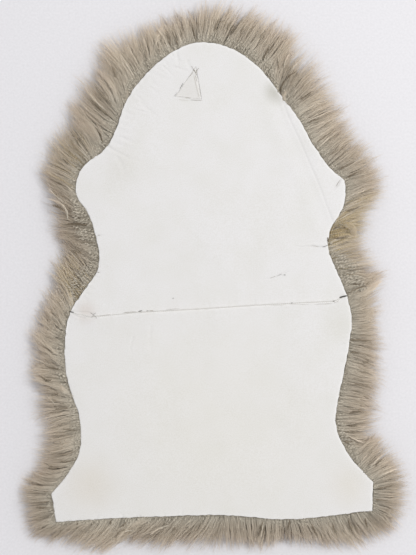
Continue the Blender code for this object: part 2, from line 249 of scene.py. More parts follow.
# Colours from a fibre's root to its tip, greyer at the root. The dark first stop at the very root is
# painted shade where the leather's edge shades the wool.
WOOL_DARK = (
    (0.02, "#6d6555"), (0.06, "#8e8676"), (0.18, "#958c7c"), (0.4, "#a19482"), (0.65, "#b3a48f"),
    (1.0, "#cab6a2"),
)
WOOL_LIGHT = (
    (0.02, "#a29a88"), (0.06, "#d1c9b8"), (0.18, "#d3cab8"), (0.4, "#d7cbb7"), (0.65, "#e6d9c4"),
    (1.0, "#f6e9da"),
)
STAIN_DARK = ((0.0, "#6f5f3e"), (0.3, "#8d7850"), (0.7, "#ad9b76"), (1.0, "#d0c1a6"))
STAIN_LIGHT = ((0.0, "#a8956c"), (0.3, "#cbb78c"), (0.7, "#dfd0ad"), (1.0, "#efe3cd"))
WOOL_STEP = 2.0             # between the places where the wool's lie is worked out

# The felted core, in rows from under the leather down to the sole: share of the wool's reach, height
# and lump.
CORE_ROWS = (
    (-0.10, 38.5, 0.0), (0.05, 36.5, 0.4), (0.20, 34.0, 1.2), (0.36, 30.0, 2.0), (0.48, 25.0, 2.4),
    (0.55, 19.0, 2.4), (0.58, 13.0, 2.0), (0.56, 8.0, 1.4), (0.50, 5.0, 0.8), (0.40, 3.6, 0.2),
)
CORE_COLUMNS = 620
CORE_WAVES = (97, 141, 193, 260)    # of lumps round the rug
LUMP_OUT = 0.6              # how far a lump stands out, and how far up
LUMP_UP = 0.7
CORE_LATTICE = 60.0         # between points of its flat top
SOLE_LATTICE = 12.0         # and of its sole
SOLE_MM = 4.6               # mean height of the sole, and of its lumps
SOLE_LUMP_MM = 1.4

# How the wool lies round the cut edge, clockwise from the crown. The wool leaves the edge along
# root_deg, ends along tip_deg, and reaches reach_mm; tangle is 0 for combed and 1 for curly wool,
# and stain is 1 where it has yellowed. Both angles run on clockwise, so they fall by a full turn.
Lie = namedtuple("Lie", "place x_mm y_mm reach_mm root_deg tip_deg tangle stain crimp_mm")
WOOL_LIE = tuple(
    Lie(*row)
    for row in (
        ("crown", -7, 406, 77, 74, 62, 0.15, 0.0, 16),
        ("crown_bend", 12, 405, 75, 56, 56, 0.15, 0.0, 16),
        ("crown_right", 39, 391, 80, 50, 58, 0.15, 0.0, 18),
        ("temple", 80, 356, 80, 50, 62, 0.15, 0.0, 24),
        ("parting_above", 106, 327, 92, 104, 38, 0.20, 0.0, 26),
        ("parting", 114, 317, 102, 106, 34, 0.20, 0.0, 20),
        ("parting_below", 121, 306, 92, 66, 44, 0.20, 0.0, 14),
        ("jaw", 134, 288, 79, 38, 32, 0.12, 0.0, 12),
        ("cheek", 150, 265, 73, 24, 22, 0.12, 0.0, 12),
        ("neck", 174, 224, 66, 42, 36, 0.12, 0.0, 14),
        ("brow_above", 203, 186, 73, 36, 32, 0.12, 0.0, 12),
        ("brow", 225, 168, 61, 28, 20, 0.10, 0.0, 10),
        ("brow_below", 227, 139, 74, 26, 12, 0.10, 0.0, 8),
        ("notch_above", 210, 98, 69, 34, 18, 0.10, 0.5, 8),
        ("notch_lip", 199, 72, 68, 24, -12, 0.35, 0.7, 6),
        ("notch", 195, 55, 61, 3, 24, 0.10, 0.35, 8),
        ("notch_below", 203, 38, 62, 26, 12, 0.10, 0.15, 18),
        ("waist", 215, 5, 74, 3, -8, 0.45, 0.0, 42),
        ("seam_above", 226, -24, 67, 4, 46, 0.25, 0.0, 34),
        ("seam_below", 232, -38, 64, 42, 56, 0.10, 0.0, 6),
        ("hip", 237, -58, 50, 12, 14, 0.05, 0.0, 5),
        ("flank", 236, -95, 49, 1, -4, 0.05, 0.0, 6),
        ("side", 230, -130, 60, -8, -26, 0.05, 0.0, 8),
        ("thigh", 222, -181, 66, -4, -34, 0.08, 0.0, 11),
        ("knee_above", 212, -222, 67, -4, -14, 0.08, 0.0, 8),
        ("knee", 210, -252, 69, -1, 10, 0.08, 0.0, 13),
        ("shank_above", 216, -275, 64, -24, -6, 0.14, 0.0, 22),
        ("shank", 225, -295, 60, -2, 20, 0.17, 0.0, 24),
        ("shank_below", 236, -312, 55, 34, 50, 0.15, 0.0, 15),
        ("calf", 248, -326, 59, 46, 40, 0.12, 0.0, 9),
        ("heel", 274, -354, 60, 28, 8, 0.10, 0.0, 7),
        ("foot_side", 274, -382, 62, -2, -10, 0.10, 0.0, 8),
        ("foot", 273, -403, 57, -36, -48, 0.10, 0.0, 7),
        ("hem_end", 225, -409, 63, -64, -50, 0.15, 0.0, 8),
        ("hem_right", 156, -415, 57, -68, -58, 0.15, 0.0, 9),
        ("hem_dip", 118, -418, 41, -86, -90, 0.15, 0.0, 11),
        ("hem_tuck", 87, -415, 55, -84, -104, 0.20, 0.0, 7),
        ("hem_sway", 50, -413, 51, -84, -66, 0.20, 0.0, 8),
        ("hem_middle", 23, -411, 56, -92, -76, 0.15, 0.0, 9),
        ("hem_turn", 0, -411, 66, -120, -138, 0.20, 0.0, 9),
        ("hem_lean", -54, -410, 74, -116, -142, 0.25, 0.0, 10),
        ("hem_curls", -115, -414, 66, -130, -164, 0.45, 0.0, 13),
        ("hem_tuft", -160, -416, 74, -106, -144, 0.35, 0.0, 9),
        ("hem_left", -225, -418, 64, -152, -138, 0.20, 0.0, 9),
        ("left_foot", -274, -423, 53, -150, -146, 0.10, 0.0, 9),
        ("left_foot_side", -277, -396, 55, -168, -166, 0.10, 0.0, 11),
        ("left_heel", -282, -374, 55, -184, -192, 0.10, 0.0, 11),
        ("left_calf", -262, -352, 58, -168, -198, 0.10, 0.0, 9),
        ("left_knee", -236, -308, 71, -150, -196, 0.10, 0.0, 15),
        ("left_thigh", -231, -270, 75, -148, -184, 0.12, 0.0, 17),
        ("left_rump", -235, -238, 69, -172, -148, 0.15, 0.0, 15),
        ("left_lock_below", -243, -215, 71, -188, -176, 0.35, 0.0, 14),
        ("left_lock", -246, -201, 68, -198, -212, 0.45, 0.0, 14),
        ("left_flank", -256, -168, 69, -190, -196, 0.80, 0.0, 18),
        ("left_side", -259, -135, 66, -196, -214, 0.90, 0.0, 18),
        ("left_hip", -256, -95, 61, -206, -226, 0.75, 0.0, 12),
        ("left_seam", -249, -60, 62, -256, -228, 0.30, 0.0, 8),
        ("left_loin", -232, -33, 71, -222, -246, 0.55, 0.5, 30),
        ("left_belly", -210, -2, 75, -226, -238, 0.20, 0.05, 24),
        ("left_waist", -201, 22, 80, -206, -226, 0.12, 0.0, 16),
        ("left_rib", -203, 52, 72, -188, -212, 0.15, 0.0, 22),
        ("left_chest", -208, 80, 68, -182, -190, 0.25, 0.0, 34),
        ("left_elbow", -221, 115, 80, -204, -218, 0.20, 0.0, 27),
        ("left_brow_below", -238, 141, 71, -212, -214, 0.10, 0.0, 12),
        ("left_brow", -238, 170, 69, -210, -220, 0.10, 0.25, 14),
        ("left_brow_above", -216, 202, 77, -230, -238, 0.10, 0.15, 12),
        ("left_neck", -198, 214, 91, -262, -228, 0.10, 0.0, 14),
        ("left_neck_above", -190, 231, 92, -222, -224, 0.10, 0.0, 16),
        ("left_nape", -180, 252, 93, -212, -228, 0.10, 0.0, 18),
        ("left_nape_above", -170, 274, 97, -234, -220, 0.10, 0.0, 16),
        ("left_cheek", -161, 290, 100, -262, -212, 0.12, 0.0, 18),
        ("left_jaw", -152, 306, 99, -258, -224, 0.15, 0.0, 22),
        ("left_temple", -135, 332, 90, -238, -234, 0.20, 0.0, 20),
        ("left_brow_tuft", -100, 369, 70, -250, -262, 0.20, 0.0, 18),
        ("crown_far_left", -75, 391, 62, -246, -236, 0.15, 0.0, 16),
        ("crown_left", -41, 404, 60, -262, -256, 0.12, 0.0, 14),
        ("crown_crest", -22, 406, 70, -272, -272, 0.12, 0.0, 14),
    )
)

# The same between the rows, worked out for a place of the edge.
Lay = namedtuple("Lay", "reach root_deg tip_deg tangle stain crimp")

# Coats of the rim, from the top down. A coat's roots are root_mm below the leather's top, inset_mm back
# from its edge; it stands crown_mm high past the crimp, and falls to tip_mm at the tips, late if droop
# is large. Staples bulge by bulge_mm, and a coat is thick_mm deep.
Coat = namedtuple(
    "Coat",
    "name strands_per_mm root_mm inset_mm reach crown_mm tip_mm droop bulge_mm thick_mm fibre_mm"
    " turn_deg",
)
COATS = (
    Coat("wool_outer", 6.8, 3.0, -0.2, 1.00, 43.0, 13.0, 2.3, 2.2, 3.5, 0.42, 28),
    Coat("wool_second", 5.8, 5.4, 0.4, 1.01, 39.5, 8.0, 2.2, 2.0, 4.5, 0.48, 40),
    Coat("wool_third", 3.6, 12.0, -3.0, 1.02, 31.0, 4.0, 2.0, 1.6, 6.0, 0.64, 60),
    Coat("wool_floor", 2.6, 28.0, -8.0, 1.00, 15.0, 1.5, 1.6, 1.0, 6.0, 0.70, 80),
)
STRAND_POINTS = 7
STRAND_TAPER = 0.74         # share of its width that a fibre loses to its tip
FIBRE_WIDTHS = (0.6, 1.25)  # shares of the coat's fibre_mm
FIBRE_ROOT_DEG = 1.4        # how far single fibres stray at the root, and at the tip
FIBRE_TIP_DEG = 2.5
FIBRE_TONE = 0.05
LONG_SHARE = 0.22           # fibres that reach past the others, which make the soft fringe
LONG_LENGTHS = (0.92, 1.22)         # shares of the wool's reach
LONG_TIP_DEG = 8.0
USUAL_LENGTHS = (0.83, 0.08)        # mean and spread of the others'
STAPLE_WIDTHS = (22.0, 52.0)
LOCK_WIDTHS = (8.0, 18.0)
WISP_WIDTH = 2.8            # mean width of the finest bunches of fibres
# What sets staples, the locks in them and the wisps in those apart: how far they turn and bend, how far
# they reach, their tone and height, and how far their fibres close up to their middle at the tip.
Variety = namedtuple("Variety", "turn_deg bend_deg reach tone high_mm close")
STAPLES = Variety(4.0, 7.0, (0.94, 1.04), 0.045, 0.9, 0.08)
LOCKS = Variety(3.0, 6.0, (0.94, 1.05), 0.035, 0.5, (0.0, 0.26))
WISPS = Variety(2.4, 5.0, (0.95, 1.05), 0.055, 0.42, (0.1, 0.7))
WISP_OPENS = 0.65           # share of that which a wisp gives up again at its tip
FIBRE_CLOSE = (0.4, 1.2)    # shares of a lock's closing that its fibres take part in
STAPLE_UNEVEN = 0.3         # share of a staple's width that a parting is off its even place
STAPLE_BOW_DEG = 5.0
LOOSE_COMBED = 0.5          # share of all turns and bends that combed wool takes
LOOSE_CURLY = 0.9           # and how much more of them curly wool takes
LEAN_MM = 2.4               # how far a staple's one side rides up over the next staple
UNEVEN_LEAN_MM = 1.0
LEAN_WAVES = (5, 8, 13)     # round the rug
COMMON_CREASE = 2.4         # the deepest of the partings that the photograph doesn't name
COMMON_OVER = 0.4           # the most that a staple rides over at one of them
CREASE_HALF_WIDTH = 1.4     # of the shallowest, and a deeper one is wider
CREASE_WIDENS = 0.38        # by this much for each millimetre of its depth
CREASE_PAINTED_SHADE = 0.027         # painted shade: how much darker the wool is for each millimetre of a parting
OVER_MM = 7.0               # how far a staple that rides over its neighbour bows across it
OVER_HALF_WIDTH = 14.0
OVER_HIGH_MM = 3.0          # how much higher it lies, and how much lower its neighbour
COVER_PAINTED_SHADE = 0.14           # painted shade: how much darker the wool is that another staple covers
BOW_DEG = 7.0               # how far the wool bows to a side on its way out
BOW_COMBED = 0.7            # share of that in combed wool
BOW_END = 0.85              # where a bow ends, as a share of the fibre
FLOW_WAVES = (11, 19, 29, 43, 61)   # of bows round the rug
WAVE_COMBED = 0.5           # how far combed wool waves to the sides at its tip
WAVE_CURLY = 2.4            # and how much farther curly wool does
WAVE_AT_ROOT = 0.2          # share of a wave that is there at the root
WAVE_LENGTH = 26.0          # of combed wool
CURL_SHORTENS = 6.0         # and how much shorter it is in curly wool
WAVE_LIFT = 0.6             # how far a wave goes up and down, as a share of its size
FIBRE_PHASE = 0.4           # how far single fibres are out of their lock's wave
FRIZZ_MM = 0.35
LOCK_BULGE_MM = 0.4
UNEVEN_TIP_MM = 2.0
LEAST_HEIGHT = 0.5
LEAST_CRIMP = 6.0
RISE_FROM = 0.35            # share of the crimp's length where the wool begins to rise to its crown
FALL_FROM = 0.15            # share of a fibre where it begins to fall to its tip
COAT_TONE = 0.42
CLOUD_TONE = 0.04           # how far the tone changes in clouds round the rug
CLOUD_WAVES = (7, 13, 23, 37)
DEEP_PAINTED_SHADE = 0.10            # painted shade: how much darker the deepest fibres of a coat are
WOOL_TOP = 47.2             # highest that any wool stands
WOOL_PROUD = 13.0           # how far past the frame's box a fibre may reach
LEAST_KEPT = 0.5            # share of its reach that a fibre keeps at least when it is drawn in
CRIMP_LENGTH = 18.0
CRIMP_PITCH = 5.2           # between neighbouring bundles of crimp
CRIMP_ROWS = 4
CRIMP_FIBRES = 7
CRIMP_POINTS = 15
CRIMP_SHARE = 0.35          # the crimp is this much of a fibre, from its root
CRIMP_DOWN = 1.9            # how far the crimp starts below the leather's top
CRIMP_CLEAR = 0.45          # how far it keeps from a parting, for each millimetre of its depth
CRIMP_ROW_STEP = 0.45       # from row to row, as a share of its length
CRIMP_ROW_UNEVEN = (-0.6, 2.4)
CRIMP_ASTRAY = 0.7
CRIMP_LEAST_SHARE = 0.30    # of its length that a bundle has room for at least
CRIMP_FARTHEST_IN = -0.8    # from the cut edge
CRIMP_WAVES = (83, 131, 211, 307)   # of its phase round the rug
CRIMP_WAVE_LENGTHS = (5.4, 7.4)
CRIMP_WAVE_SIZES = (0.6, 1.1)
CRIMP_TIP_DROP = 3.5
CRIMP_WIDTHS = (0.42, 0.62)
CREST_PAINTED_LIGHT_AND_SHADE = 0.36           # painted: how much paler a wave's crest is and darker its trough, per millimetre of its size

# Locks that lie over the others: from the root by the middle to the tip, how wide, how many fibres,
# how high the root stands, how far the tip falls, their tone, and the share that has yellowed.
Tuft = namedtuple("Tuft", "name root middle tip wide_mm fibres high_mm fall_mm tone stain")
TUFTS = (
    Tuft("cheek_leaf", (-165, 287), (-177, 329), (-203, 359), 34, 600, 47.0, 37.0, 0.37, 0.0),
    Tuft("neck_leaf", (-199, 220), (-217, 252), (-245, 279), 27, 470, 47.0, 37.0, 0.24, 0.0),
    Tuft("waist_tuft", (-254, 102), (-261, 123), (-285, 136), 4.5, 60, 47.0, 20.0, 0.53, 0.0),
    Tuft("lock_tuft", (-246, -206), (-268, -190), (-284, -166), 13, 180, 47.0, 37.0, 0.50, 0.0),
    Tuft("hip_hook", (-262, -78), (-282, -66), (-293, -46), 8, 60, 42.0, 30.0, 0.46, 0.0),
    Tuft("loin_stain", (-247, -53), (-249, -40), (-246, -27), 7, 70, 46.5, 6.0, 0.10, 1.0),
    Tuft("hip_curl", (-266, -104), (-286, -98), (-308, -84), 9, 60, 38.0, 28.0, 0.47, 0.0),
    Tuft("side_curl", (-266, -130), (-288, -128), (-312, -112), 9, 60, 37.0, 27.0, 0.47, 0.0),
    Tuft("flank_curl", (-264, -154), (-286, -142), (-311, -138), 10, 70, 39.0, 29.0, 0.47, 0.0),
    Tuft("seam_sweep", (231, -37), (258, -25), (287, -4), 10, 150, 47.0, 24.0, 0.43, 0.0),
    Tuft("hem_sweep", (-128, -421), (-150, -431), (-172, -458), 14, 160, 44.0, 34.0, 0.48, 0.0),
    Tuft("hem_pale", (-80, -424), (-108, -438), (-142, -440), 9, 90, 38.0, 28.0, 0.50, 0.0),
    Tuft("crown_arc", (-97, 386), (-100, 412), (-86, 440), 9, 90, 45.0, 35.0, 0.48, 0.0),
    Tuft("parting_hook", (128, 300), (121, 318), (146, 346), 8, 100, 47.0, 37.0, 0.44, 0.0),
    Tuft("notch_curl", (212, 92), (236, 90), (246, 68), 12, 120, 47.0, 37.0, 0.44, 0.6),
)
TUFT_POINTS = 9
STREAK_WIDTH = 3.6          # mean width of the streaks that a laid lock is made of
STREAK_TONE = 0.10          # how far the streaks differ in tone
LAID_STARTS = (-0.06, 0.22)         # where its fibres begin, as shares of the lock
LAID_END = 0.86             # and where they end in the mean
LAID_WAVE_MM = 0.7
LAID_WAVES = 4              # from root to tip
LAID_ROOT_DROP = 4.0        # how far its root dips into the wool below
LAID_LEAST_HEIGHT = 2.0
LAID_WIDTHS = (0.28, 0.55)
# Thin locks with a painted highlight, paler than the wool round them, placed after the photograph: from
# the root by the middle to the tip, how wide, and their tone.
PAINTED_HIGHLIGHT_LINES = (
    ((-260, 129), (-274, 141), (-288, 155), 1.7, 0.60),
    ((-182, 284), (-206, 305), (-224, 329), 3.1, 0.50),
    ((-198, 224), (-207, 248), (-225, 270), 3.1, 0.52), ((227, 125), (243, 132), (263, 141), 1.7, 0.58),
    ((229, 141), (246, 146), (265, 153), 1.7, 0.56), ((265, -331), (277, -319), (293, -306), 2.4, 0.60),
    ((250, -324), (258, -313), (270, -301), 2.1, 0.54),
    ((222, -267), (241, -279), (263, -288), 2.4, 0.58),
    ((281, -346), (298, -338), (319, -332), 2.4, 0.54),
    ((-141, -438), (-158, -441), (-168, -457), 2.4, 0.56),
    ((-80, -429), (-98, -436), (-111, -446), 3.1, 0.54),
    ((-274, -220), (-282, -213), (-291, -205), 1.6, 0.62),
    ((-291, -120), (-297, -114), (-305, -106), 1.7, 0.60),
    ((84, -426), (82, -440), (80, -455), 1.6, 0.60), ((108, 367), (110, 379), (104, 393), 2.2, 0.56),
    ((120, 362), (123, 374), (130, 388), 2.2, 0.54), ((130, 355), (137, 364), (146, 376), 1.9, 0.56),
)
# Lines of painted shade where the combed wool parts: dark locks laid over it, given in the same way.
# Tone 0 is darkest.
PAINTED_SHADE_LINES = (
    ((-193, 225), (-199, 250), (-215, 265), 2.8, 0.00),
    ((-180, 277), (-199, 293), (-217, 310), 3.4, 0.22),
    ((-180, 301), (-198, 320), (-210, 339), 2.4, 0.40),
    ((-167, 341), (-174, 355), (-180, 372), 1.7, 0.30),
    ((-232, 227), (-244, 246), (-253, 258), 2.4, 0.35), ((-210, 89), (-237, 92), (-262, 92), 2.8, 0.00),
    ((-262, 118), (-272, 123), (-284, 126), 3.1, 0.05),
    ((-265, 134), (-275, 144), (-284, 154), 2.1, 0.30),
    ((-251, 196), (-258, 202), (-265, 210), 2.1, 0.30), ((-206, 60), (-222, 60), (-239, 61), 2.1, 0.05),
    ((-232, 42), (-241, 46), (-248, 47), 2.2, 0.30),
    ((-262, -158), (-279, -157), (-293, -153), 2.4, 0.10),
    ((-282, -177), (-291, -178), (-300, -172), 4.1, 0.20),
    ((-253, -187), (-260, -177), (-267, -170), 3.1, 0.20),
    ((-270, -201), (-275, -201), (-282, -199), 2.1, 0.30),
    ((-246, -225), (-267, -227), (-284, -231), 1.9, 0.25),
    ((-236, -265), (-253, -263), (-267, -263), 1.7, 0.30),
    ((-237, -313), (-256, -319), (-274, -317), 2.1, 0.10),
    ((-236, -296), (-263, -307), (-294, -300), 1.7, 0.25),
    ((-263, -329), (-284, -326), (-298, -317), 2.1, 0.30),
    ((-281, -369), (-298, -370), (-322, -367), 2.1, 0.05),
    ((-284, -386), (-301, -389), (-320, -389), 2.1, 0.25),
    ((-288, -398), (-301, -398), (-312, -398), 2.1, 0.30),
    ((-263, -436), (-272, -445), (-282, -452), 2.1, 0.30),
    ((-236, -421), (-237, -427), (-239, -433), 3.1, 0.10),
    ((-179, -419), (-179, -425), (-180, -430), 2.8, 0.15),
    ((-151, -421), (-158, -428), (-165, -432), 2.4, 0.20),
    ((-156, -436), (-167, -443), (-170, -455), 2.4, 0.30),
    ((-68, -431), (-71, -436), (-75, -443), 2.1, 0.20), ((84, -421), (79, -437), (74, -452), 1.8, 0.15),
    ((87, -429), (84, -443), (79, -464), 1.7, 0.30), ((130, -419), (129, -429), (125, -438), 3.1, 0.30),
    ((167, -424), (174, -438), (180, -450), 2.4, 0.20),
    ((260, -414), (262, -426), (265, -436), 2.4, 0.00),
    ((231, -419), (236, -434), (243, -445), 2.2, 0.20),
    ((205, -426), (206, -436), (213, -446), 1.9, 0.30),
    ((234, -234), (248, -232), (263, -235), 3.1, 0.05),
    ((232, -256), (241, -256), (250, -256), 2.1, 0.20),
    ((218, -265), (234, -266), (255, -265), 1.9, 0.30),
    ((224, -282), (232, -284), (243, -286), 3.5, 0.35),
    ((277, -327), (284, -320), (293, -313), 2.1, 0.05),
    ((279, -365), (296, -362), (315, -358), 1.9, 0.20),
    ((275, -383), (288, -384), (301, -386), 2.1, 0.20),
    ((234, -108), (248, -108), (274, -110), 2.8, 0.20),
    ((234, -129), (244, -130), (255, -132), 2.1, 0.30),
    ((253, -146), (265, -146), (277, -149), 2.1, 0.35),
    ((253, -160), (265, -165), (275, -170), 1.9, 0.35),
    ((234, -184), (255, -186), (274, -193), 1.7, 0.35), ((229, -28), (249, -18), (269, -9), 2.1, 0.20),
    ((237, -12), (250, -11), (263, -9), 1.9, 0.20), ((225, 115), (239, 118), (255, 125), 2.2, 0.20),
    ((206, 68), (222, 69), (239, 73), 2.1, 0.00), ((205, 82), (215, 88), (225, 82), 2.9, 0.05),
    ((196, 72), (196, 63), (199, 54), 2.2, 0.05), ((227, 170), (243, 180), (262, 187), 2.1, 0.00),
    ((212, 186), (229, 194), (248, 206), 2.8, 0.05), ((161, 267), (174, 272), (186, 275), 2.4, 0.10),
    ((172, 231), (190, 243), (211, 260), 1.3, 0.35), ((199, 212), (209, 218), (217, 227), 1.9, 0.44),
    ((144, 307), (158, 314), (170, 324), 2.2, 0.05), ((115, 312), (119, 336), (143, 358), 2.8, 0.05),
    ((111, 360), (110, 372), (111, 384), 1.9, 0.35), ((82, 377), (89, 388), (94, 400), 3.1, 0.15),
    ((45, 422), (49, 431), (54, 441), 2.2, 0.42), ((-1, 426), (4, 438), (9, 449), 3.2, 0.32),
    ((22, 428), (25, 436), (32, 445), 2.2, 0.42), ((77, 412), (85, 422), (94, 433), 2.2, 0.35),
    ((-92, 384), (-98, 403), (-97, 425), 3.4, 0.18), ((-75, 398), (-80, 414), (-89, 431), 1.9, 0.26),
    ((-62, 398), (-68, 414), (-77, 434), 1.8, 0.26), ((-32, 410), (-37, 427), (-40, 446), 2.1, 0.10),
    ((-56, 410), (-58, 424), (-60, 438), 1.9, 0.30),
)
LINE_FIBRES = 9.0           # for each millimetre of such a line's width
LINE_HIGH = 46.6            # height of a line's root at the cut edge
LINE_SINKS = 28.0           # how much lower it is at the wool's far edge
LINE_FALL = 6.0             # how far a line falls at least
LINE_TIP_FALL = 45.0        # and how much farther to a tip at the wool's far edge

# Locks pressed flat under the rug
SOLE_EDGE_STEP = 6.0
SOLE_OUT = 0.20             # how far out from the cut edge they are rooted, as a share of the reach
SOLE_LOCK_SPACING = 21.0
SOLE_FIBRES = 18            # in each lock
SOLE_POINTS = 5
SOLE_LENGTHS = (42.0, 66.0)
SOLE_RIM_LENGTH = 0.66      # the longest near the rim, as a share of the wool's reach
SOLE_CLOSE = (0.3, 0.8)     # how far a fibre closes up to its lock's middle
SOLE_ROOT_HIGH = 5.0
SOLE_HEIGHTS = (0.6, 2.4)
SOLE_LEAST_HEIGHT = 0.7
SOLE_WIDTHS = (0.8, 1.3)

# Painted light and shade: parts of the fleece made paler than the rest where they look more brightly lit
# than the lamps make them, and darker where the tone is less than zero.
Shade = namedtuple("Shade", "x_mm y_mm reach_mm tone")
PAINTED_LIGHT_AND_SHADE = (
    Shade(-280, -95, 55, 0.20), Shade(-284, -185, 55, 0.12), Shade(-240, 60, 50, -0.12),
    Shade(-268, -15, 50, 0.12), Shade(-272, -262, 60, 0.12), Shade(-272, 108, 35, -0.08),
    Shade(-248, 225, 45, 0.12), Shade(-190, 345, 50, 0.09), Shade(-112, 405, 55, 0.20),
    Shade(-25, 436, 50, 0.13), Shade(285, -335, 75, -0.09), Shade(235, 195, 70, -0.06),
    Shade(264, -95, 30, 0.07), Shade(262, -190, 40, 0.06), Shade(0, -440, 150, -0.03),
    Shade(-168, -448, 35, 0.14), Shade(-205, -455, 40, 0.08), Shade(262, 130, 35, 0.06),
)

# Partings that the photograph shows between staples: the point of the cut edge where each starts, how
# deep it is, and which side rides over the other: 1 the counter-clockwise one, -1 the clockwise one.
Parting = namedtuple("Parting", "x_mm y_mm depth_mm over")
PARTINGS = (
    Parting(-11, 407, 3.5, 0.0), Parting(13, 405, 3.0, 0.3), Parting(30, 400, 3.0, 0.0),
    Parting(79, 372, 3.0, 0.0), Parting(115, 315, 11.0, 0.6), Parting(136, 287, 4.5, -0.3),
    Parting(153, 260, 4.0, 0.0), Parting(189, 206, 3.0, 0.2), Parting(205, 182, 4.0, -0.3),
    Parting(222, 172, 5.0, 0.3), Parting(219, 108, 4.0, -0.4), Parting(196, 68, 7.0, 0.8),
    Parting(232, -28, 7.0, -0.8), Parting(236, -108, 4.0, 0.0), Parting(234, -128, 4.0, 0.3),
    Parting(211, -234, 4.0, 0.3), Parting(220, -286, 4.0, 0.6), Parting(231, -305, 4.0, -0.3),
    Parting(262, -410, 4.0, 0.0), Parting(235, -410, 4.0, 0.3), Parting(118, -418, 4.0, 0.0),
    Parting(70, -414, 3.0, 0.0), Parting(10, -411, 4.0, -0.4), Parting(-71, -412, 4.0, 0.4),
    Parting(-126, -415, 4.0, 0.8), Parting(-160, -418, 7.0, -0.6), Parting(-180, -420, 4.0, 0.4),
    Parting(-240, -421, 4.0, 0.3), Parting(-244, -224, 5.0, -0.8), Parting(-256, -161, 5.0, 0.8),
    Parting(-258, -112, 4.0, 0.5), Parting(-246, -44, 7.5, 0.9), Parting(-206, 60, 5.0, 0.5),
    Parting(-205, 89, 6.0, -0.5), Parting(-238, 150, 3.0, 0.3), Parting(-224, 203, 3.0, 0.4),
    Parting(-195, 221, 6.0, 1.0), Parting(-170, 276, 5.0, -0.9), Parting(-160, 292, 4.6, 1.0),
    Parting(-130, 345, 3.0, 0.4), Parting(-98, 383, 6.0, -0.6), Parting(-75, 396, 4.0, 0.4),
    Parting(-32, 408, 4.0, 0.2),
)


def linear(hex_colour):
    """An sRGB hex colour as the linear one that a shader takes."""
    parts = [int(hex_colour[k:k + 2], 16) / 255 for k in (1, 3, 5)]
    return tuple(c / 12.92 if c <= 0.04045 else ((c + 0.055) / 1.055) ** 2.4 for c in parts) + (1.0,)


def node(tree, kind, settings=None, **links):
    """Add a shader node. Settings name its properties or inputs, or are the stops of a colour ramp as
    places and hex colours, and links feed its inputs.
    """
    made = tree.nodes.new(kind)
    for name, value in (settings or {}).items():
        if name == "stops":
            elements = made.color_ramp.elements
            while len(elements) < len(value):
                elements.new(1.0)
            for stop, (place, colour) in zip(elements, value):
                stop.position = place
                stop.color = linear(colour)
        elif isinstance(name, str) and hasattr(made, name):
            setattr(made, name, value)
        else:
            made.inputs[name].default_value = value
    for name, source in links.items():
        key = int(name[1:]) if name[0] == "i" and name[1:].isdigit() else name.replace("_", " ")
        tree.links.new(source, made.inputs[key])
    return made


def new_material(name, **inputs):
    """A new material with these inputs of its shader set, and its node tree and shader."""
    found = bpy.data.materials.new(name)
    found.use_nodes = True
    shader = found.node_tree.nodes["Principled BSDF"]
    for key, value in inputs.items():
        shader.inputs[key.replace("_", " ")].default_value = value
    return found, found.node_tree, shader


# --- materials ---

def combed_wool():
    """Raw sheep's wool, washed and combed: dull greige at the skin, bleached and pinkish at the tips,
    with faint cross bands of painted light and shade on the crests and troughs of its crimp, and
    painted shade at the very root, where the leather's edge shades it.
    """
    found, tree, shader = new_material(
        "combed_wool", Roughness=0.62, IOR=1.55, Sheen_Weight=0.25, Sheen_Roughness=0.45
    )
    place = node(tree, "ShaderNodeUVMap", {"uv_map": "OFBake"})
    split = node(tree, "ShaderNodeSeparateXYZ", Vector=place.outputs["UV"])
    along = split.outputs["Y"]
    # The crimp's cross bands: painted light on its crests and painted shade in its troughs.
    turns = node(tree, "ShaderNodeMath", {"operation": "MULTIPLY", 1: 2 * math.pi * CRIMPS}, i0=along)
    wave = node(tree, "ShaderNodeMath", {"operation": "SINE"}, i0=turns.outputs[0])
    fading = node(
        tree, "ShaderNodeMapRange", {"From Max": BAND_END, "To Min": BAND_PAINTED_LIGHT_AND_SHADE, "To Max": 0.0}, Value=along
    )
    band = node(tree, "ShaderNodeMath", {"operation": "MULTIPLY"}, i0=wave.outputs[0], i1=fading.outputs[0])
    toned = node(tree, "ShaderNodeMath", {"operation": "ADD"}, i0=split.outputs["X"], i1=band.outputs[0])
    darkest, lightest, oldest, yellowest = (
        node(tree, "ShaderNodeValToRGB", {"stops": stops}, Fac=along).outputs["Color"]
        for stops in (WOOL_DARK, WOOL_LIGHT, STAIN_DARK, STAIN_LIGHT)
    )
    tone = node(tree, "ShaderNodeMapRange", {"From Max": STRAND_TONES}, Value=toned.outputs[0])
    clean = node(tree, "ShaderNodeMix", {"data_type": "RGBA"}, i0=tone.outputs[0], i6=darkest, i7=lightest)
    stain_tone = node(
        tree, "ShaderNodeMapRange", {"From Min": STAIN_FROM, "From Max": STAIN_FROM + STAIN_SPAN},
        Value=toned.outputs[0],
    )
    yellow = node(
        tree, "ShaderNodeMix", {"data_type": "RGBA"}, i0=stain_tone.outputs[0], i6=oldest, i7=yellowest
    )
    is_stained = node(
        tree, "ShaderNodeMath", {"operation": "GREATER_THAN", 1: (STRAND_TONES + STAIN_FROM) / 2},
        i0=split.outputs["X"],
    )
    mixed = node(
        tree, "ShaderNodeMix", {"data_type": "RGBA"},
        i0=is_stained.outputs[0], i6=clean.outputs[2], i7=yellow.outputs[2],
    )
    tree.links.new(mixed.outputs[2], shader.inputs["Base Color"])
    return found


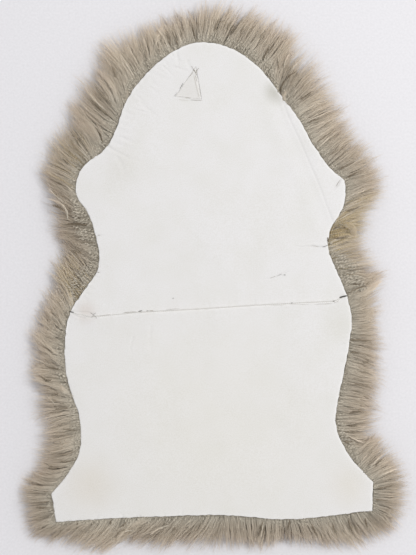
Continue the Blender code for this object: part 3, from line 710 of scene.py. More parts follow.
def painted_shade_wool():
    """Painted shade: dark brown-grey wool laid along the partings, so that they read as dark lines."""
    found, tree, shader = new_material("painted_shade_wool", Roughness=0.7, IOR=1.55, Sheen_Weight=0.1)
    place = node(tree, "ShaderNodeUVMap", {"uv_map": "OFBake"})
    split = node(tree, "ShaderNodeSeparateXYZ", Vector=place.outputs["UV"])
    stops = ((0.0, "#746753"), (STRAND_TONES, "#a89b87"))
    colour = node(tree, "ShaderNodeValToRGB", {"stops": stops}, Fac=split.outputs["X"])
    tree.links.new(colour.outputs["Color"], shader.inputs["Base Color"])
    return found


def felted_wool():
    """The dense under-wool, matted by wear: dark, with the light tips of small curls."""
    found, tree, shader = new_material("felted_wool", Roughness=0.9, IOR=1.55, Sheen_Weight=0.2)
    where = node(tree, "ShaderNodeTexCoord").outputs["Object"]
    curls = node(tree, "ShaderNodeTexVoronoi", {"Scale": 1 / (5.0 * MM)}, Vector=where)
    clumps = node(tree, "ShaderNodeTexNoise", {"Scale": 1 / (30.0 * MM), "Detail": 4.0}, Vector=where)
    both = node(
        tree, "ShaderNodeMath", {"operation": "MULTIPLY"},
        i0=curls.outputs["Distance"], i1=clumps.outputs[0],
    )
    stops = ((0.05, "#6a6153"), (0.3, "#8c8170"), (0.6, "#a89b88"))
    colour = node(tree, "ShaderNodeValToRGB", {"stops": stops}, Fac=both.outputs[0])
    tree.links.new(colour.outputs["Color"], shader.inputs["Base Color"])
    bump = node(
        tree, "ShaderNodeBump", {"Strength": 0.6, "Distance": 1.5 * MM}, Height=curls.outputs["Distance"]
    )
    tree.links.new(bump.outputs["Normal"], shader.inputs["Normal"])
    return found


def with_stains_and_shade(tree, where, colour):
    """The hide's colour with its soft stains and patches of painted shade laid over it."""
    for stain in STAINS_AND_SHADE:
        middle = (stain.x_mm * MM, stain.y_mm * MM, STAIN_AND_SHADE_HEIGHT * MM)
        away = node(tree, "ShaderNodeVectorMath", {"operation": "DISTANCE", 1: middle}, i0=where)
        share = node(
            tree, "ShaderNodeMapRange",
            {"interpolation_type": "SMOOTHSTEP", "From Min": stain.reach_mm * MM, "From Max": 0.0,
             "To Max": stain.share},
            Value=away.outputs["Value"],
        )
        colour = node(
            tree, "ShaderNodeMix", {"data_type": "RGBA", 7: linear(stain.colour)},
            i0=share.outputs[0], i6=colour,
        ).outputs[2]
    return colour


def tanned_hide(name, base, blotch, rim):
    """Alum-tanned sheepskin, buffed on the flesh side: white, matte and napped, cloudy where the tan
    took unevenly, yellower to the hem, with some patches of painted shade, and a painted highlight
    along its cut edge.
    """
    found, tree, shader = new_material(
        name, Roughness=0.72, IOR=1.5, Specular_IOR_Level=0.3, Sheen_Weight=0.12, Sheen_Roughness=0.5
    )
    where = node(tree, "ShaderNodeTexCoord").outputs["Object"]
    cloudy = node(
        tree, "ShaderNodeTexNoise", {"Scale": 1 / (55.0 * MM), "Detail": 6.0, "Roughness": 0.6}, Vector=where
    )
    nap = node(
        tree, "ShaderNodeTexNoise", {"Scale": 1 / (1.8 * MM), "Detail": 3.0, "Roughness": 0.7}, Vector=where
    )
    aged = node(
        tree, "ShaderNodeValToRGB", {"stops": ((0.32, blotch), (0.6, base))}, Fac=cloudy.outputs[0]
    ).outputs["Color"]
    aged = with_stains_and_shade(tree, where, aged)
    # The rim attribute, from the cut edge inward, mixes in the rim colour: a painted highlight along the
    # edge.
    at_rim = node(tree, "ShaderNodeAttribute", {"attribute_name": "rim"})
    rim_highlighted = node(
        tree, "ShaderNodeMix", {"data_type": "RGBA", 7: linear(rim)}, i0=at_rim.outputs["Fac"], i6=aged
    )
    fine = node(
        tree, "ShaderNodeValToRGB", {"stops": ((0.3, "#f5f4f1"), (0.6, "#ffffff"))}, Fac=nap.outputs[0]
    ).outputs["Color"]
    mixed = node(
        tree, "ShaderNodeMix", {"data_type": "RGBA", "blend_type": "MULTIPLY", 0: 1.0},
        i6=rim_highlighted.outputs[2], i7=fine,
    )
    tree.links.new(mixed.outputs[2], shader.inputs["Base Color"])
    bump = node(tree, "ShaderNodeBump", {"Strength": 0.25, "Distance": 0.3 * MM}, Height=nap.outputs[0])
    tree.links.new(bump.outputs["Normal"], shader.inputs["Normal"])
    return found


def plain_finish(name, colour, roughness):
    """A twisted thread or a painted surface: one dyed colour, a little mottled."""
    found, tree, shader = new_material(name, Roughness=roughness)
    where = node(tree, "ShaderNodeTexCoord").outputs["Object"]
    mottle = node(tree, "ShaderNodeTexNoise", {"Scale": 1 / (4.0 * MM)}, Vector=where)
    value = node(tree, "ShaderNodeHueSaturation", {"Color": linear(colour)})
    span = node(tree, "ShaderNodeMapRange", {"To Min": 0.92, "To Max": 1.08}, Value=mottle.outputs[0])
    tree.links.new(span.outputs[0], value.inputs["Value"])
    tree.links.new(value.outputs[0], shader.inputs["Base Color"])
    return found


# --- lines and outlines on the plane ---

def unit(vectors, spare=0.0):
    """Vectors at a length of one, but for a spare length that keeps a tiny one from running wild."""
    return vectors / (np.linalg.norm(vectors, axis=-1, keepdims=True) + spare)


def heading(degrees):
    """Unit vectors at these angles."""
    angle = np.radians(degrees)
    return np.stack([np.cos(angle), np.sin(angle)], axis=-1)


def left_of(ways):
    """Vectors turned a quarter turn to their left."""
    return np.stack([-ways[..., 1], ways[..., 0]], axis=-1)


def run_along(line):
    """How far along a line each of its points is."""
    lengths = np.linalg.norm(np.diff(line, axis=0), axis=1)
    return np.concatenate([[0.0], np.cumsum(lengths)])


def points_along(line, run, at):
    """Points of a line at distances along it, where its own points are at the distances in run."""
    return np.stack([np.interp(at, run, line[:, k]) for k in (0, 1)], axis=-1)


def run_round(outline):
    """How far round a closed outline each of its points is, and at the end its whole length."""
    return run_along(np.vstack([outline, outline[:1]]))


def turning(points):
    """Twice the signed area of a loop, less than zero where it runs clockwise."""
    after = np.roll(points, -1, axis=0)
    return float(np.sum(points[:, 0] * after[:, 1] - after[:, 0] * points[:, 1]))


def moved_in(outline, distance):
    """An outline's points moved to their right: in where it runs clockwise, and out of a hole."""
    ways = unit(np.roll(outline, -1, axis=0) - np.roll(outline, 1, axis=0))
    return outline - left_of(ways) * distance


def nearest_of(points, others):
    """Which of some others is nearest to each point, and how far away it is."""
    numbers = []
    gaps = []
    for part in np.array_split(points, max(1, len(points) // POINTS_AT_ONCE)):
        squares = ((part[:, None] - others[None]) ** 2).sum(axis=2)
        nearest = squares.argmin(axis=1)
        numbers.append(nearest)
        gaps.append(np.sqrt(squares[np.arange(len(part)), nearest]))
    return np.concatenate(numbers), np.concatenate(gaps)


def gap_between(points, others):
    """Distance from each point to the nearest of some others."""
    return nearest_of(points, others)[1]


def inside(outline, points):
    """Which points lie inside a closed outline."""
    after = np.roll(outline, -1, axis=0)
    found = np.zeros(len(points), bool)
    for a, b in zip(outline, after):
        spans = (a[1] > points[:, 1]) != (b[1] > points[:, 1])
        with np.errstate(divide="ignore", invalid="ignore"):
            crossing = a[0] + (points[:, 1] - a[1]) * (b[0] - a[0]) / (b[1] - a[1])
        found ^= spans & (points[:, 0] < crossing)
    return found


def lattice(outline, spacing, margin=0.5):
    """Points of a triangular lattice inside an outline, clear of it by a share of their spacing."""
    low = outline.min(axis=0)
    high = outline.max(axis=0)
    rise = spacing * math.sqrt(3) / 2
    rows = np.arange(math.floor(low[1] / rise), math.ceil(high[1] / rise) + 1)
    columns = np.arange(math.floor(low[0] / spacing) - 1, math.ceil(high[0] / spacing) + 1)
    grid = np.array([((c + (r % 2) / 2) * spacing, r * rise) for r in rows for c in columns])
    grid = grid[inside(outline, grid)]
    return grid[gap_between(grid, outline) > spacing * margin]


def triangles(outline, inner):
    """Triangles over an outline's points and some inside it, as numbers of points."""
    flat = [Vector(p) for p in np.concatenate([outline, inner])]
    made = delaunay_2d_cdt(flat, [], [list(range(len(outline)))], CDT_INSIDE, CDT_NEAR)
    source = [found[0] for found in made[3]]
    return [[source[corner] for corner in face] for face in made[2]]


def smooth(points, step):
    """A closed loop through these points, smooth but for its corners, with a point each step."""
    count = len(points)
    chords = np.roll(points, -1, axis=0) - points
    lengths = np.linalg.norm(chords, axis=1)
    ways = chords / lengths[:, None]
    before = np.roll(ways, 1, axis=0)
    turn = np.degrees(np.arccos(np.clip((ways * before).sum(axis=1), -1, 1)))
    middle = unit(ways + before)
    corner = (turn > CORNER_TURN)[:, None]
    leaving = np.where(corner, ways, middle)
    coming = np.where(corner, before, middle)
    found = []
    for k in range(count):
        after = (k + 1) % count
        pieces = max(1, round(lengths[k] / step))
        t = (np.arange(pieces) / pieces)[:, None]
        found.append(
            points[k] * (2 * t ** 3 - 3 * t ** 2 + 1)
            + leaving[k] * lengths[k] * (t ** 3 - 2 * t ** 2 + t)
            + points[after] * (3 * t ** 2 - 2 * t ** 3)
            + coming[after] * lengths[k] * (t ** 3 - t ** 2)
        )
    return np.concatenate(found)


def wavy(place, length, dice, waves):
    """A closed uneven wave along a length, from sines of the given counts."""
    total = np.zeros_like(place)
    for count in waves:
        total += np.sin(2 * math.pi * (place / length * count) + dice.uniform(0, 2 * math.pi))
    return total / math.sqrt(len(waves))


# --- the frame's leather ---

def top_loops(name):
    """Closed loops round the top face of a node, in millimetres, clockwise, the longest first."""
    bm = bmesh.new()
    bm.from_mesh(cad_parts[name].data)
    bmesh.ops.remove_doubles(bm, verts=bm.verts, dist=WELD)
    top = {face for face in bm.faces if face.normal.z > UPWARD}
    ahead = {}
    for edge in bm.edges:
        if sum(face in top for face in edge.link_faces) == 1:
            a, b = edge.verts
            ahead.setdefault(a, []).append(b)
            ahead.setdefault(b, []).append(a)
    loops = []
    while ahead:
        start = next(iter(ahead))
        loop = [start]
        before = start
        here = ahead[start][0]
        while here != start:
            loop.append(here)
            after = [v for v in ahead[here] if v != before][0]
            before = here
            here = after
        for vertex in loop:
            ahead.pop(vertex)
        points = np.array([vertex.co for vertex in loop]) / MM
        loops.append(points[:, :2] if turning(points) < 0 else points[::-1, :2])
    bm.free()
    return sorted(loops, key=lambda points: -np.ptp(points, axis=0).sum())


def height_of(name):
    """A function that gives the top of a node, in millimetres, at points on the plane."""
    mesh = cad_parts[name].data
    tree = BVHTree.FromPolygons([v.co for v in mesh.vertices], [tuple(p.vertices) for p in mesh.polygons])
    above = Vector((0, 0, 1))

    def look(points):
        found = []
        for x, y in points * MM:
            start = Vector((x, y, above.z))
            hit = tree.ray_cast(start, -above)[0]
            if hit is None:
                hit = tree.find_nearest(start)[0]
            found.append(hit.z / MM)
        return np.array(found)

    return look


def free_run(loop, other):
    """The part of one panel's outline that isn't on the seam with the other panel."""
    free = gap_between(loop, other) > SEAM_NEAR
    start = next(k for k in range(len(loop)) if free[k] and not free[k - 1])
    turned = np.roll(loop, -start, axis=0)
    return turned[: int(free.sum())]


def seam_run(loop, other):
    """The part of one panel's outline that is on the seam, from left to right."""
    shared = loop[gap_between(loop, other) <= SEAM_NEAR]
    return shared[np.argsort(shared[:, 0])]


class CutEdge:
    """The rug's whole cut edge, with an even step, and the wool's lie along it."""

    def __init__(self, upper, lower):
        joined = np.concatenate([free_run(upper, lower), free_run(lower, upper)])
        self.points = smooth(joined, WOOL_STEP)
        self.run = run_round(self.points)
        self.length = self.run[-1]
        self.start = 0.0
        self.start = self.nearest(WOOL_LIE[0][1:3])
        beside = moved_in(self.points, BESIDE_EDGE)
        self.tops = np.maximum(height_of("skin_upper")(beside), height_of("skin_lower")(beside))
        self.places = np.array([self.nearest(row[1:3]) for row in WOOL_LIE] + [self.length])
        rows = np.array([row[3:] for row in WOOL_LIE], float)
        last = rows[0] - (0, FULL_TURN, FULL_TURN, 0, 0, 0)
        self.rows = np.vstack([rows, last])

    def nearest(self, point):
        """How far along the edge its nearest place to a point is."""
        distances = np.linalg.norm(self.points - point, axis=1)
        return (self.run[int(distances.argmin())] - self.start) % self.length

    def at(self, place):
        """Points of the edge at distances along it."""
        place = (np.asarray(place) + self.start) % self.length
        return points_along(np.vstack([self.points, self.points[:1]]), self.run, place)

    def top(self, place):
        """Height of the leather's top beside distances along the edge."""
        place = (np.asarray(place) + self.start) % self.length
        return np.interp(place, self.run, np.append(self.tops, self.tops[0]))

    def lie(self, place):
        """The wool's lie at distances along the edge."""
        turns, rest = np.divmod(np.asarray(place, float), self.length)
        found = [np.interp(rest, self.places, column) for column in self.rows.T]
        found[1] = found[1] - FULL_TURN * turns
        found[2] = found[2] - FULL_TURN * turns
        return Lay(*found)


# --- meshes ---

def as_piece(name, mesh, finish, replaced=None):
    """A mesh as a smooth piece of the rug, in place of a node of the frame, or of none."""
    mesh.shade_smooth()
    mesh.materials.append(finish)
    made = bpy.data.objects.new(name, mesh)
    bpy.context.collection.objects.link(made)
    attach(made, "root")
    if replaced is not None:
        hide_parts(replaced)
    return made


def mesh_of(name, verts, faces):
    """A mesh from points in millimetres and faces of any size."""
    mesh = bpy.data.meshes.new(name)
    mesh.from_pydata((np.asarray(verts) * MM).tolist(), [], faces)
    mesh.update()
    return mesh


def ribbon_verts(paths, widths, roll):
    """Two points for each step of a fibre, to either side of its path, and one at its tip."""
    ways = unit(np.gradient(paths, axis=1), TINY)
    side = unit(np.cross(ways, UP), TINY)
    over = np.cross(side, ways)
    turn = np.radians(roll)[:, None, None]
    half = (side * np.cos(turn) + over * np.sin(turn)) * (widths[:, :, None] / 2)
    verts = np.empty((len(paths), 2 * paths.shape[1] - 1, 3))
    verts[:, 0:-1:2] = (paths - half)[:, :-1]
    verts[:, 1::2] = (paths + half)[:, :-1]
    verts[:, -1] = paths[:, -1]
    return verts


def ribbons(name, paths, widths, roll, tone, finish, root_share=1.0, shift=0.0):
    """One piece of tapered fibres: paths is (fibres, points, 3), and the last point is the tip.

    Each fibre's tone is the U of its map, for a fibre or for each of its points. V runs from root to
    tip, and as far as root_share where the fibres are only the root ends of longer ones. Fibres of one
    lock share a shift, from 0 to 1, of their crimp along V, so that the crimp runs across the lock.
    """
    count, steps, _ = paths.shape
    verts = ribbon_verts(paths, widths, roll)
    each = verts.shape[1]
    quads = np.array([(2 * k, 2 * k + 1, 2 * k + 3, 2 * k + 2) for k in range(steps - 2)])
    corners = np.concatenate([quads.ravel(), [each - 3, each - 2, each - 1]])
    starts = np.arange(steps - 1) * 4
    fibres = np.arange(count)[:, None]
    loops = (corners[None] + fibres * each).ravel()
    begins = (starts[None] + fibres * len(corners)).ravel()
    mesh = bpy.data.meshes.new(name)
    mesh.vertices.add(count * each)
    mesh.vertices.foreach_set("co", (verts * MM).ravel().astype(np.float32))
    mesh.loops.add(len(loops))
    mesh.loops.foreach_set("vertex_index", loops.astype(np.int32))
    mesh.polygons.add(len(begins))
    mesh.polygons.foreach_set("loop_start", begins.astype(np.int32))

    point = np.arange(each) // 2
    along = np.linspace(V_ROOT, V_TIP * root_share, steps)[point]
    across = np.where(np.arange(each) % 2 == 0, -U_HALF, U_HALF)
    across[-1] = 0.0
    tones = np.broadcast_to(tone, (count, steps))
    uv = np.empty((count, len(corners), 2))
    uv[:, :, 0] = tones[:, point[corners]] + across[corners][None]
    uv[:, :, 1] = along[corners][None] + np.broadcast_to(shift, count)[:, None] * V_SHIFT / CRIMPS
    layer = mesh.uv_layers.new(name="OFBake")
    layer.data.foreach_set("uv", uv.ravel().astype(np.float32))
    mesh.update(calc_edges=True)
    as_piece(name, mesh, finish, "fleece")


def with_height(plan, high):
    """Paths from their points on the plane and the heights of those points."""
    return np.concatenate([plan, high[:, :, None]], axis=2)


def stained(tone, yellow):
    """Tones held within the clean wool's, and moved to the yellowed wool's where it has yellowed."""
    tone = np.clip(tone, TONE_MARGIN, STRAND_TONES - TONE_MARGIN)
    return np.where(yellow, STAIN_FROM + tone * STAIN_SPAN / STRAND_TONES, tone)


# --- the fleece ---

def bend_path(root, root_deg, tip_deg, bow_deg, length, points):
    """Points on the plane of fibres that turn from one angle to another, with a bow on the way."""
    share = np.linspace(0.0, 1.0, points)
    angle = root_deg[:, None] + (tip_deg - root_deg)[:, None] * share[None]
    angle = angle + bow_deg[:, None] * np.sin(2 * math.pi * np.minimum(share, BOW_END))[None]
    middle = (angle[:, 1:] + angle[:, :-1]) / 2
    steps = heading(middle) * (length / (points - 1))[:, None, None]
    run = np.concatenate([np.zeros((len(root), 1, 2)), np.cumsum(steps, axis=1)], axis=1)
    return root[:, None] + run, angle


def kept_near(path):
    """Fibres drawn in where they would reach too far past the frame's box."""
    low = np.array(cad_box[0][:2]) / MM - WOOL_PROUD
    high = np.array(cad_box[1][:2]) / MM + WOOL_PROUD
    root = path[:, :1]
    span = path - root
    with np.errstate(divide="ignore", invalid="ignore"):
        room = np.where(span > 0, (high - root) / span, np.where(span < 0, (low - root) / span, np.inf))
    share = np.clip(room.min(axis=(1, 2)), LEAST_KEPT, 1.0)
    return root + span * share[:, None, None]


def tapered(points):
    """How wide a fibre is at each of its points, as shares of its width at the root."""
    return 1.0 - STRAND_TAPER * np.linspace(0, 1, points) ** 2


def shade_at(points):
    """How much paler than the rest the painted light and shade make the fleece at points on the plane."""
    paler = np.zeros(len(points))
    for shade in PAINTED_LIGHT_AND_SHADE:
        away = np.linalg.norm(points - shade[:2], axis=1)
        paler += shade.tone * np.exp(-((away / shade.reach_mm) ** 2))
    return paler


def staples_of(edge, named, dice):
    """Where the wool parts into staples: the named partings, and uneven ones between them."""
    places = sorted(named)
    places.append(places[0] + edge.length)
    found = []
    for left, right in zip(places, places[1:]):
        pieces = max(1, round((right - left) / dice.uniform(*STAPLE_WIDTHS)))
        step = (right - left) / pieces
        found.append(left)
        for k in range(1, pieces):
            found.append(left + step * (k + dice.uniform(-STAPLE_UNEVEN, STAPLE_UNEVEN)))
    return np.array(found)


class Staples:
    """How a coat parts into staples, and each staple into finer locks, with what sets them apart."""

    def __init__(self, edge, starts, named, dice):
        count = len(starts)
        self.ends = np.append(starts, starts[0] + edge.length)
        self.wide = np.diff(self.ends)
        common = COMMON_CREASE * dice.uniform(0, 1, count) ** 2
        side = dice.uniform(-COMMON_OVER, COMMON_OVER, count)
        shown = [named.get(place) for place in starts]
        self.crease_left = np.array([c if p is None else p.depth_mm for c, p in zip(common, shown)])
        self.crease_right = np.roll(self.crease_left, -1)
        self.over_left = np.array([c if p is None else p.over for c, p in zip(side, shown)])
        self.over_right = np.roll(self.over_left, -1)
        self.turn = dice.normal(0, STAPLES.turn_deg, count)
        self.bend = dice.normal(0, STAPLES.bend_deg, count)
        self.bow = dice.normal(0, STAPLE_BOW_DEG, count)
        self.reach = dice.uniform(*STAPLES.reach, count)
        self.tone = dice.normal(0, STAPLES.tone, count)
        lean = wavy(starts, edge.length, np.random.default_rng(LEAN_SEED), LEAN_WAVES)
        self.tilt = LEAN_MM * np.clip(2 * lean, -1, 1) + dice.normal(0, UNEVEN_LEAN_MM, count)
        self.high = dice.normal(0, STAPLES.high_mm, count)
        self.locks = np.maximum(1, np.round(self.wide / dice.uniform(*LOCK_WIDTHS, count))).astype(int)
        self.first_lock = np.concatenate([[0], np.cumsum(self.locks)])
        many = int(self.first_lock[-1])
        self.lock_turn = dice.normal(0, LOCKS.turn_deg, many)
        self.lock_bend = dice.normal(0, LOCKS.bend_deg, many)
        self.lock_reach = dice.uniform(*LOCKS.reach, many)
        self.lock_tone = dice.normal(0, LOCKS.tone, many)
        self.lock_phase = dice.uniform(0, 2 * math.pi, many)
        self.lock_high = dice.normal(0, LOCKS.high_mm, many)
        self.lock_close = dice.uniform(*LOCKS.close, many)
        self.wisp_ends = np.sort(dice.uniform(0, edge.length, int(edge.length / WISP_WIDTH))) + starts[0]
        many = len(self.wisp_ends) + 1
        self.wisp_turn = dice.normal(0, WISPS.turn_deg, many)
        self.wisp_bend = dice.normal(0, WISPS.bend_deg, many)
        self.wisp_reach = dice.uniform(*WISPS.reach, many)
        self.wisp_tone = dice.normal(0, WISPS.tone, many)
        self.wisp_high = dice.normal(0, WISPS.high_mm, many)
        self.wisp_close = dice.uniform(*WISPS.close, many)

    def of(self, place):
        """The staple at each place, and how far across it the place is, from 0 to 1."""
        staple = np.clip(np.searchsorted(self.ends, place, side="right") - 1, 0, len(self.wide) - 1)
        return staple, (place - self.ends[staple]) / self.wide[staple]

    def creases(self, staple, inside_staple):
        """How deep the partings on both sides of a staple cut at each place of it."""
        left = self.crease_left[staple]
        right = self.crease_right[staple]
        to_left = inside_staple * self.wide[staple] / (CREASE_HALF_WIDTH + CREASE_WIDENS * left)
        to_right = (1 - inside_staple) * self.wide[staple] / (CREASE_HALF_WIDTH + CREASE_WIDENS * right)
        return left * np.exp(-to_left ** 2) + right * np.exp(-to_right ** 2)

    def overlap(self, staple, inside_staple):
        """How far each place bows across a neighbour, clockwise or less than zero, and how far it is
        covered by one. Both are shares of the whole.
        """
        near_left = np.exp(-(inside_staple * self.wide[staple] / OVER_HALF_WIDTH) ** 2)
        near_right = np.exp(-((1 - inside_staple) * self.wide[staple] / OVER_HALF_WIDTH) ** 2)
        left = self.over_left[staple]
        right = self.over_right[staple]
        bowed = np.maximum(right, 0) * near_right + np.minimum(left, 0) * near_left
        covered = np.maximum(left, 0) * near_left ** 3 - np.minimum(right, 0) * near_right ** 3
        return bowed, covered


class Seats:
    """Where the fibres of a coat are rooted, and in which staple, lock and wisp."""

    def __init__(self, edge, staples, count, dice):
        self.place = staples.ends[0] + np.sort(dice.uniform(0, edge.length, count))
        self.staple, inside_staple = staples.of(self.place)
        locks = staples.locks[self.staple]
        own_lock = np.minimum((inside_staple * locks).astype(int), locks - 1)
        self.lock = staples.first_lock[self.staple] + own_lock
        self.wisp = np.searchsorted(staples.wisp_ends, self.place)
        self.across = 2 * inside_staple - 1
        self.across_lock = 2 * (inside_staple * locks - own_lock) - 1
        self.crease = staples.creases(self.staple, inside_staple)
        self.bowed, self.covered = staples.overlap(self.staple, inside_staple)
        start = staples.ends[self.staple]
        wide = staples.wide[self.staple]
        in_wisp = np.maximum(np.bincount(self.wisp, minlength=count), 1)
        wisp_middle = np.bincount(self.wisp, self.place, count) / in_wisp
        self.root = edge.at(self.place)
        self.to_lock = edge.at(start + (own_lock + 0.5) / locks * wide) - self.root
        self.to_staple = edge.at(start + wide / 2) - self.root
        self.to_wisp = edge.at(wisp_middle[self.wisp]) - self.root


def coat_plan(edge, coat, staples, seats, lay, dice):
    """A coat's fibres on the plane, drawn together in their wisps, locks and staples, and how far
    their waves lift each of their points.
    """
    staple, lock, wisp = seats.staple, seats.lock, seats.wisp
    count = len(staple)
    loose = LOOSE_COMBED + LOOSE_CURLY * lay.tangle
    turn = staples.turn[staple] + staples.lock_turn[lock] + staples.wisp_turn[wisp]
    bend = staples.bend[staple] + staples.lock_bend[lock] + staples.wisp_bend[wisp]
    flow = wavy(seats.place, edge.length, np.random.default_rng(FLOW_SEED), FLOW_WAVES)
    bow_deg = BOW_DEG * flow * (BOW_COMBED + lay.tangle) + staples.bow[staple] * loose
    root_deg = lay.root_deg + (turn + dice.normal(0, FIBRE_ROOT_DEG, count)) * loose
    tip_deg = lay.tip_deg + (turn + bend + dice.normal(0, FIBRE_TIP_DEG, count)) * loose
    is_long = dice.uniform(0, 1, count) < LONG_SHARE
    tip_deg = tip_deg + np.where(is_long, dice.normal(0, LONG_TIP_DEG, count), 0)
    lengths = np.where(is_long, dice.uniform(*LONG_LENGTHS, count), dice.normal(*USUAL_LENGTHS, count))
    lengths = lengths * staples.reach[staple] * staples.lock_reach[lock] * staples.wisp_reach[wisp]
    length = lay.reach * coat.reach * lengths
    path, angle = bend_path(seats.root, root_deg, tip_deg, bow_deg, length, STRAND_POINTS)

    share = np.linspace(0, 1, STRAND_POINTS)
    in_lock = (staples.lock_close[lock] * dice.uniform(*FIBRE_CLOSE, count))[:, None] * share[None] ** 1.2
    in_staple = STAPLES.close * share[None] ** 1.5
    in_wisp = staples.wisp_close[wisp][:, None] * (share ** 0.8 * (1.0 - WISP_OPENS * share ** 2))[None]
    path = path + seats.to_lock[:, None] * in_lock[:, :, None]
    path = path + seats.to_staple[:, None] * in_staple[:, :, None]
    path = path + seats.to_wisp[:, None] * in_wisp[:, :, None]

    wave_size = (WAVE_COMBED + WAVE_CURLY * lay.tangle)[:, None] * (WAVE_AT_ROOT + share)[None]
    waves = (length / (WAVE_LENGTH - CURL_SHORTENS * lay.tangle))[:, None] * share[None]
    phase = staples.lock_phase[lock] + dice.normal(0, FIBRE_PHASE, count)
    wave_angle = 2 * math.pi * waves + phase[:, None]
    frizz = dice.normal(0, FRIZZ_MM, (count, STRAND_POINTS))
    frizz = frizz * (share ** 1.2)[None] * (1 + 2 * lay.tangle)[:, None]
    path = path + heading(angle + 90) * (wave_size * np.sin(wave_angle) + frizz)[:, :, None]
    bulge = np.sin(math.pi * np.clip(share * 1.15, 0, 1))
    path = path + heading(angle - 90) * (OVER_MM * seats.bowed[:, None] * bulge[None])[:, :, None]
    path = kept_near(path - heading(angle[:, :1]) * coat.inset_mm)
    return path, wave_size * WAVE_LIFT * np.cos(wave_angle)


def coat_heights(edge, coat, staples, seats, lay, depth, dice):
    """How high a coat's fibres stand: up out of the crimp, over their staple's bulge, down to the tips."""
    staple = seats.staple
    share = np.linspace(0, 1, STRAND_POINTS)
    past_crimp = share[None] * lay.reach[:, None] / np.maximum(lay.crimp, LEAST_CRIMP)[:, None]
    rise = np.clip((past_crimp - RISE_FROM) / (1 - RISE_FROM), 0, 1)
    fall = np.clip(share[None] - FALL_FROM, 0, 1) / (1 - FALL_FROM)
    root_high = (edge.top(seats.place) - coat.root_mm)[:, None]
    top = root_high + (coat.crown_mm - root_high) * rise
    tip = coat.tip_mm + dice.normal(0, UNEVEN_TIP_MM, len(staple))[:, None]
    high = tip + (top - tip) * (1 - fall ** coat.droop)
    body = np.sin(math.pi * np.clip(share * 1.1, 0, 1)) ** 0.7
    shape = coat.bulge_mm * (1 - seats.across ** 2) + staples.tilt[staple] * seats.across
    shape = shape + staples.high[staple]
    shape = shape + staples.lock_high[seats.lock] + LOCK_BULGE_MM * (1 - seats.across_lock ** 2)
    shape = shape + staples.wisp_high[seats.wisp]
    shape = shape + OVER_HIGH_MM * np.abs(seats.bowed) - OVER_HIGH_MM * seats.covered
    return high + rise * body[None] * (shape - seats.crease)[:, None] - depth[:, None] * coat.thick_mm


def coat_tones(edge, staples, seats, lay, depth, middles, dice):
    """The tone of each point of a coat's fibres: cloudy, with painted shade in the partings, under
    overlapping staples and deep in the coat, painted light and shade in places, and some of it yellowed.
    """
    count = len(seats.staple)
    share = np.linspace(0, 1, STRAND_POINTS)
    cloud = wavy(seats.place, edge.length, np.random.default_rng(CLOUD_SEED), CLOUD_WAVES)
    tone = COAT_TONE + CLOUD_TONE * cloud + staples.tone[seats.staple]
    tone = tone + staples.lock_tone[seats.lock] + staples.wisp_tone[seats.wisp]
    tone = tone + dice.normal(0, FIBRE_TONE, count) - DEEP_PAINTED_SHADE * depth + shade_at(middles)
    # Painted shade in the partings and under overlapping staples, strongest about a third of the way out.
    shaded = np.sin(math.pi * np.clip(0.25 + 0.85 * share, 0, 1))
    dark = CREASE_PAINTED_SHADE * seats.crease + COVER_PAINTED_SHADE * seats.covered
    tone = tone[:, None] - dark[:, None] * shaded[None]
    yellow = dice.uniform(0, 1, count) < lay.stain
    return stained(tone, yellow[:, None])


def grow_coat(edge, coat, starts, named, finish, dice):
    """One coat of the rim's wool, in staples that part, bulge and overlap, each of finer locks."""
    staples = Staples(edge, starts, named, dice)
    count = int(edge.length * coat.strands_per_mm)
    seats = Seats(edge, staples, count, dice)
    lay = edge.lie(seats.place)
    plan, lift = coat_plan(edge, coat, staples, seats, lay, dice)
    depth = dice.uniform(0, 1, count) ** 1.3
    high = coat_heights(edge, coat, staples, seats, lay, depth, dice) + lift
    widths = coat.fibre_mm * dice.uniform(*FIBRE_WIDTHS, count)[:, None] * tapered(STRAND_POINTS)[None]
    tone = coat_tones(edge, staples, seats, lay, depth, plan[:, STRAND_POINTS // 2], dice)
    ribbons(
        coat.name, with_height(plan, np.clip(high, LEAST_HEIGHT, WOOL_TOP)), widths,
        dice.normal(0, coat.turn_deg, count), tone, finish,
        shift=staples.lock_phase[seats.lock] / (2 * math.pi),
    )


def felted_core(edge, finish, dice):
    """The mass of wool under the combed coats, down to its lumpy sole."""
    place = np.arange(CORE_COLUMNS) * edge.length / CORE_COLUMNS
    lay = edge.lie(place)
    root = edge.at(place)
    verts = []
    rings = []
    for share, height, lump in CORE_ROWS:
        turn = heading(lay.root_deg + (lay.tip_deg - lay.root_deg) * max(0.0, share) / 2)
        uneven = wavy(place, edge.length, dice, CORE_WAVES)
        plan = root + turn * (lay.reach * share + uneven * lump * LUMP_OUT)[:, None]
        ring = np.column_stack([plan, height + uneven * lump * LUMP_UP])
        rings.append(range(len(verts), len(verts) + CORE_COLUMNS))
        verts.extend(ring.tolist())
    faces = []
    for above, below in zip(rings, rings[1:]):
        for k in range(CORE_COLUMNS):
            after = (k + 1) % CORE_COLUMNS
            faces.append((above[k], above[after], below[after], below[k]))
    fill_ring(verts, faces, rings[0], CORE_LATTICE, core_height, False)
    fill_ring(verts, faces, rings[-1], SOLE_LATTICE, sole_height, True)
    as_piece("fleece_core", mesh_of("fleece_core", verts, faces), finish, "fleece")


def core_height(points):
    """The flat top of the core, under the leather."""
    return np.full(len(points), CORE_ROWS[0][1])


def sole_height(points):
    """The pressed wool of the sole: pads above the floor with hollows of a few millimetres."""
    x = points[:, 0]
    y = points[:, 1]
    lumps = np.sin(x / 17 + 1.3 * np.sin(y / 31)) * np.sin(y / 21 + 1.1 * np.sin(x / 27))
    return SOLE_MM + SOLE_LUMP_MM * lumps


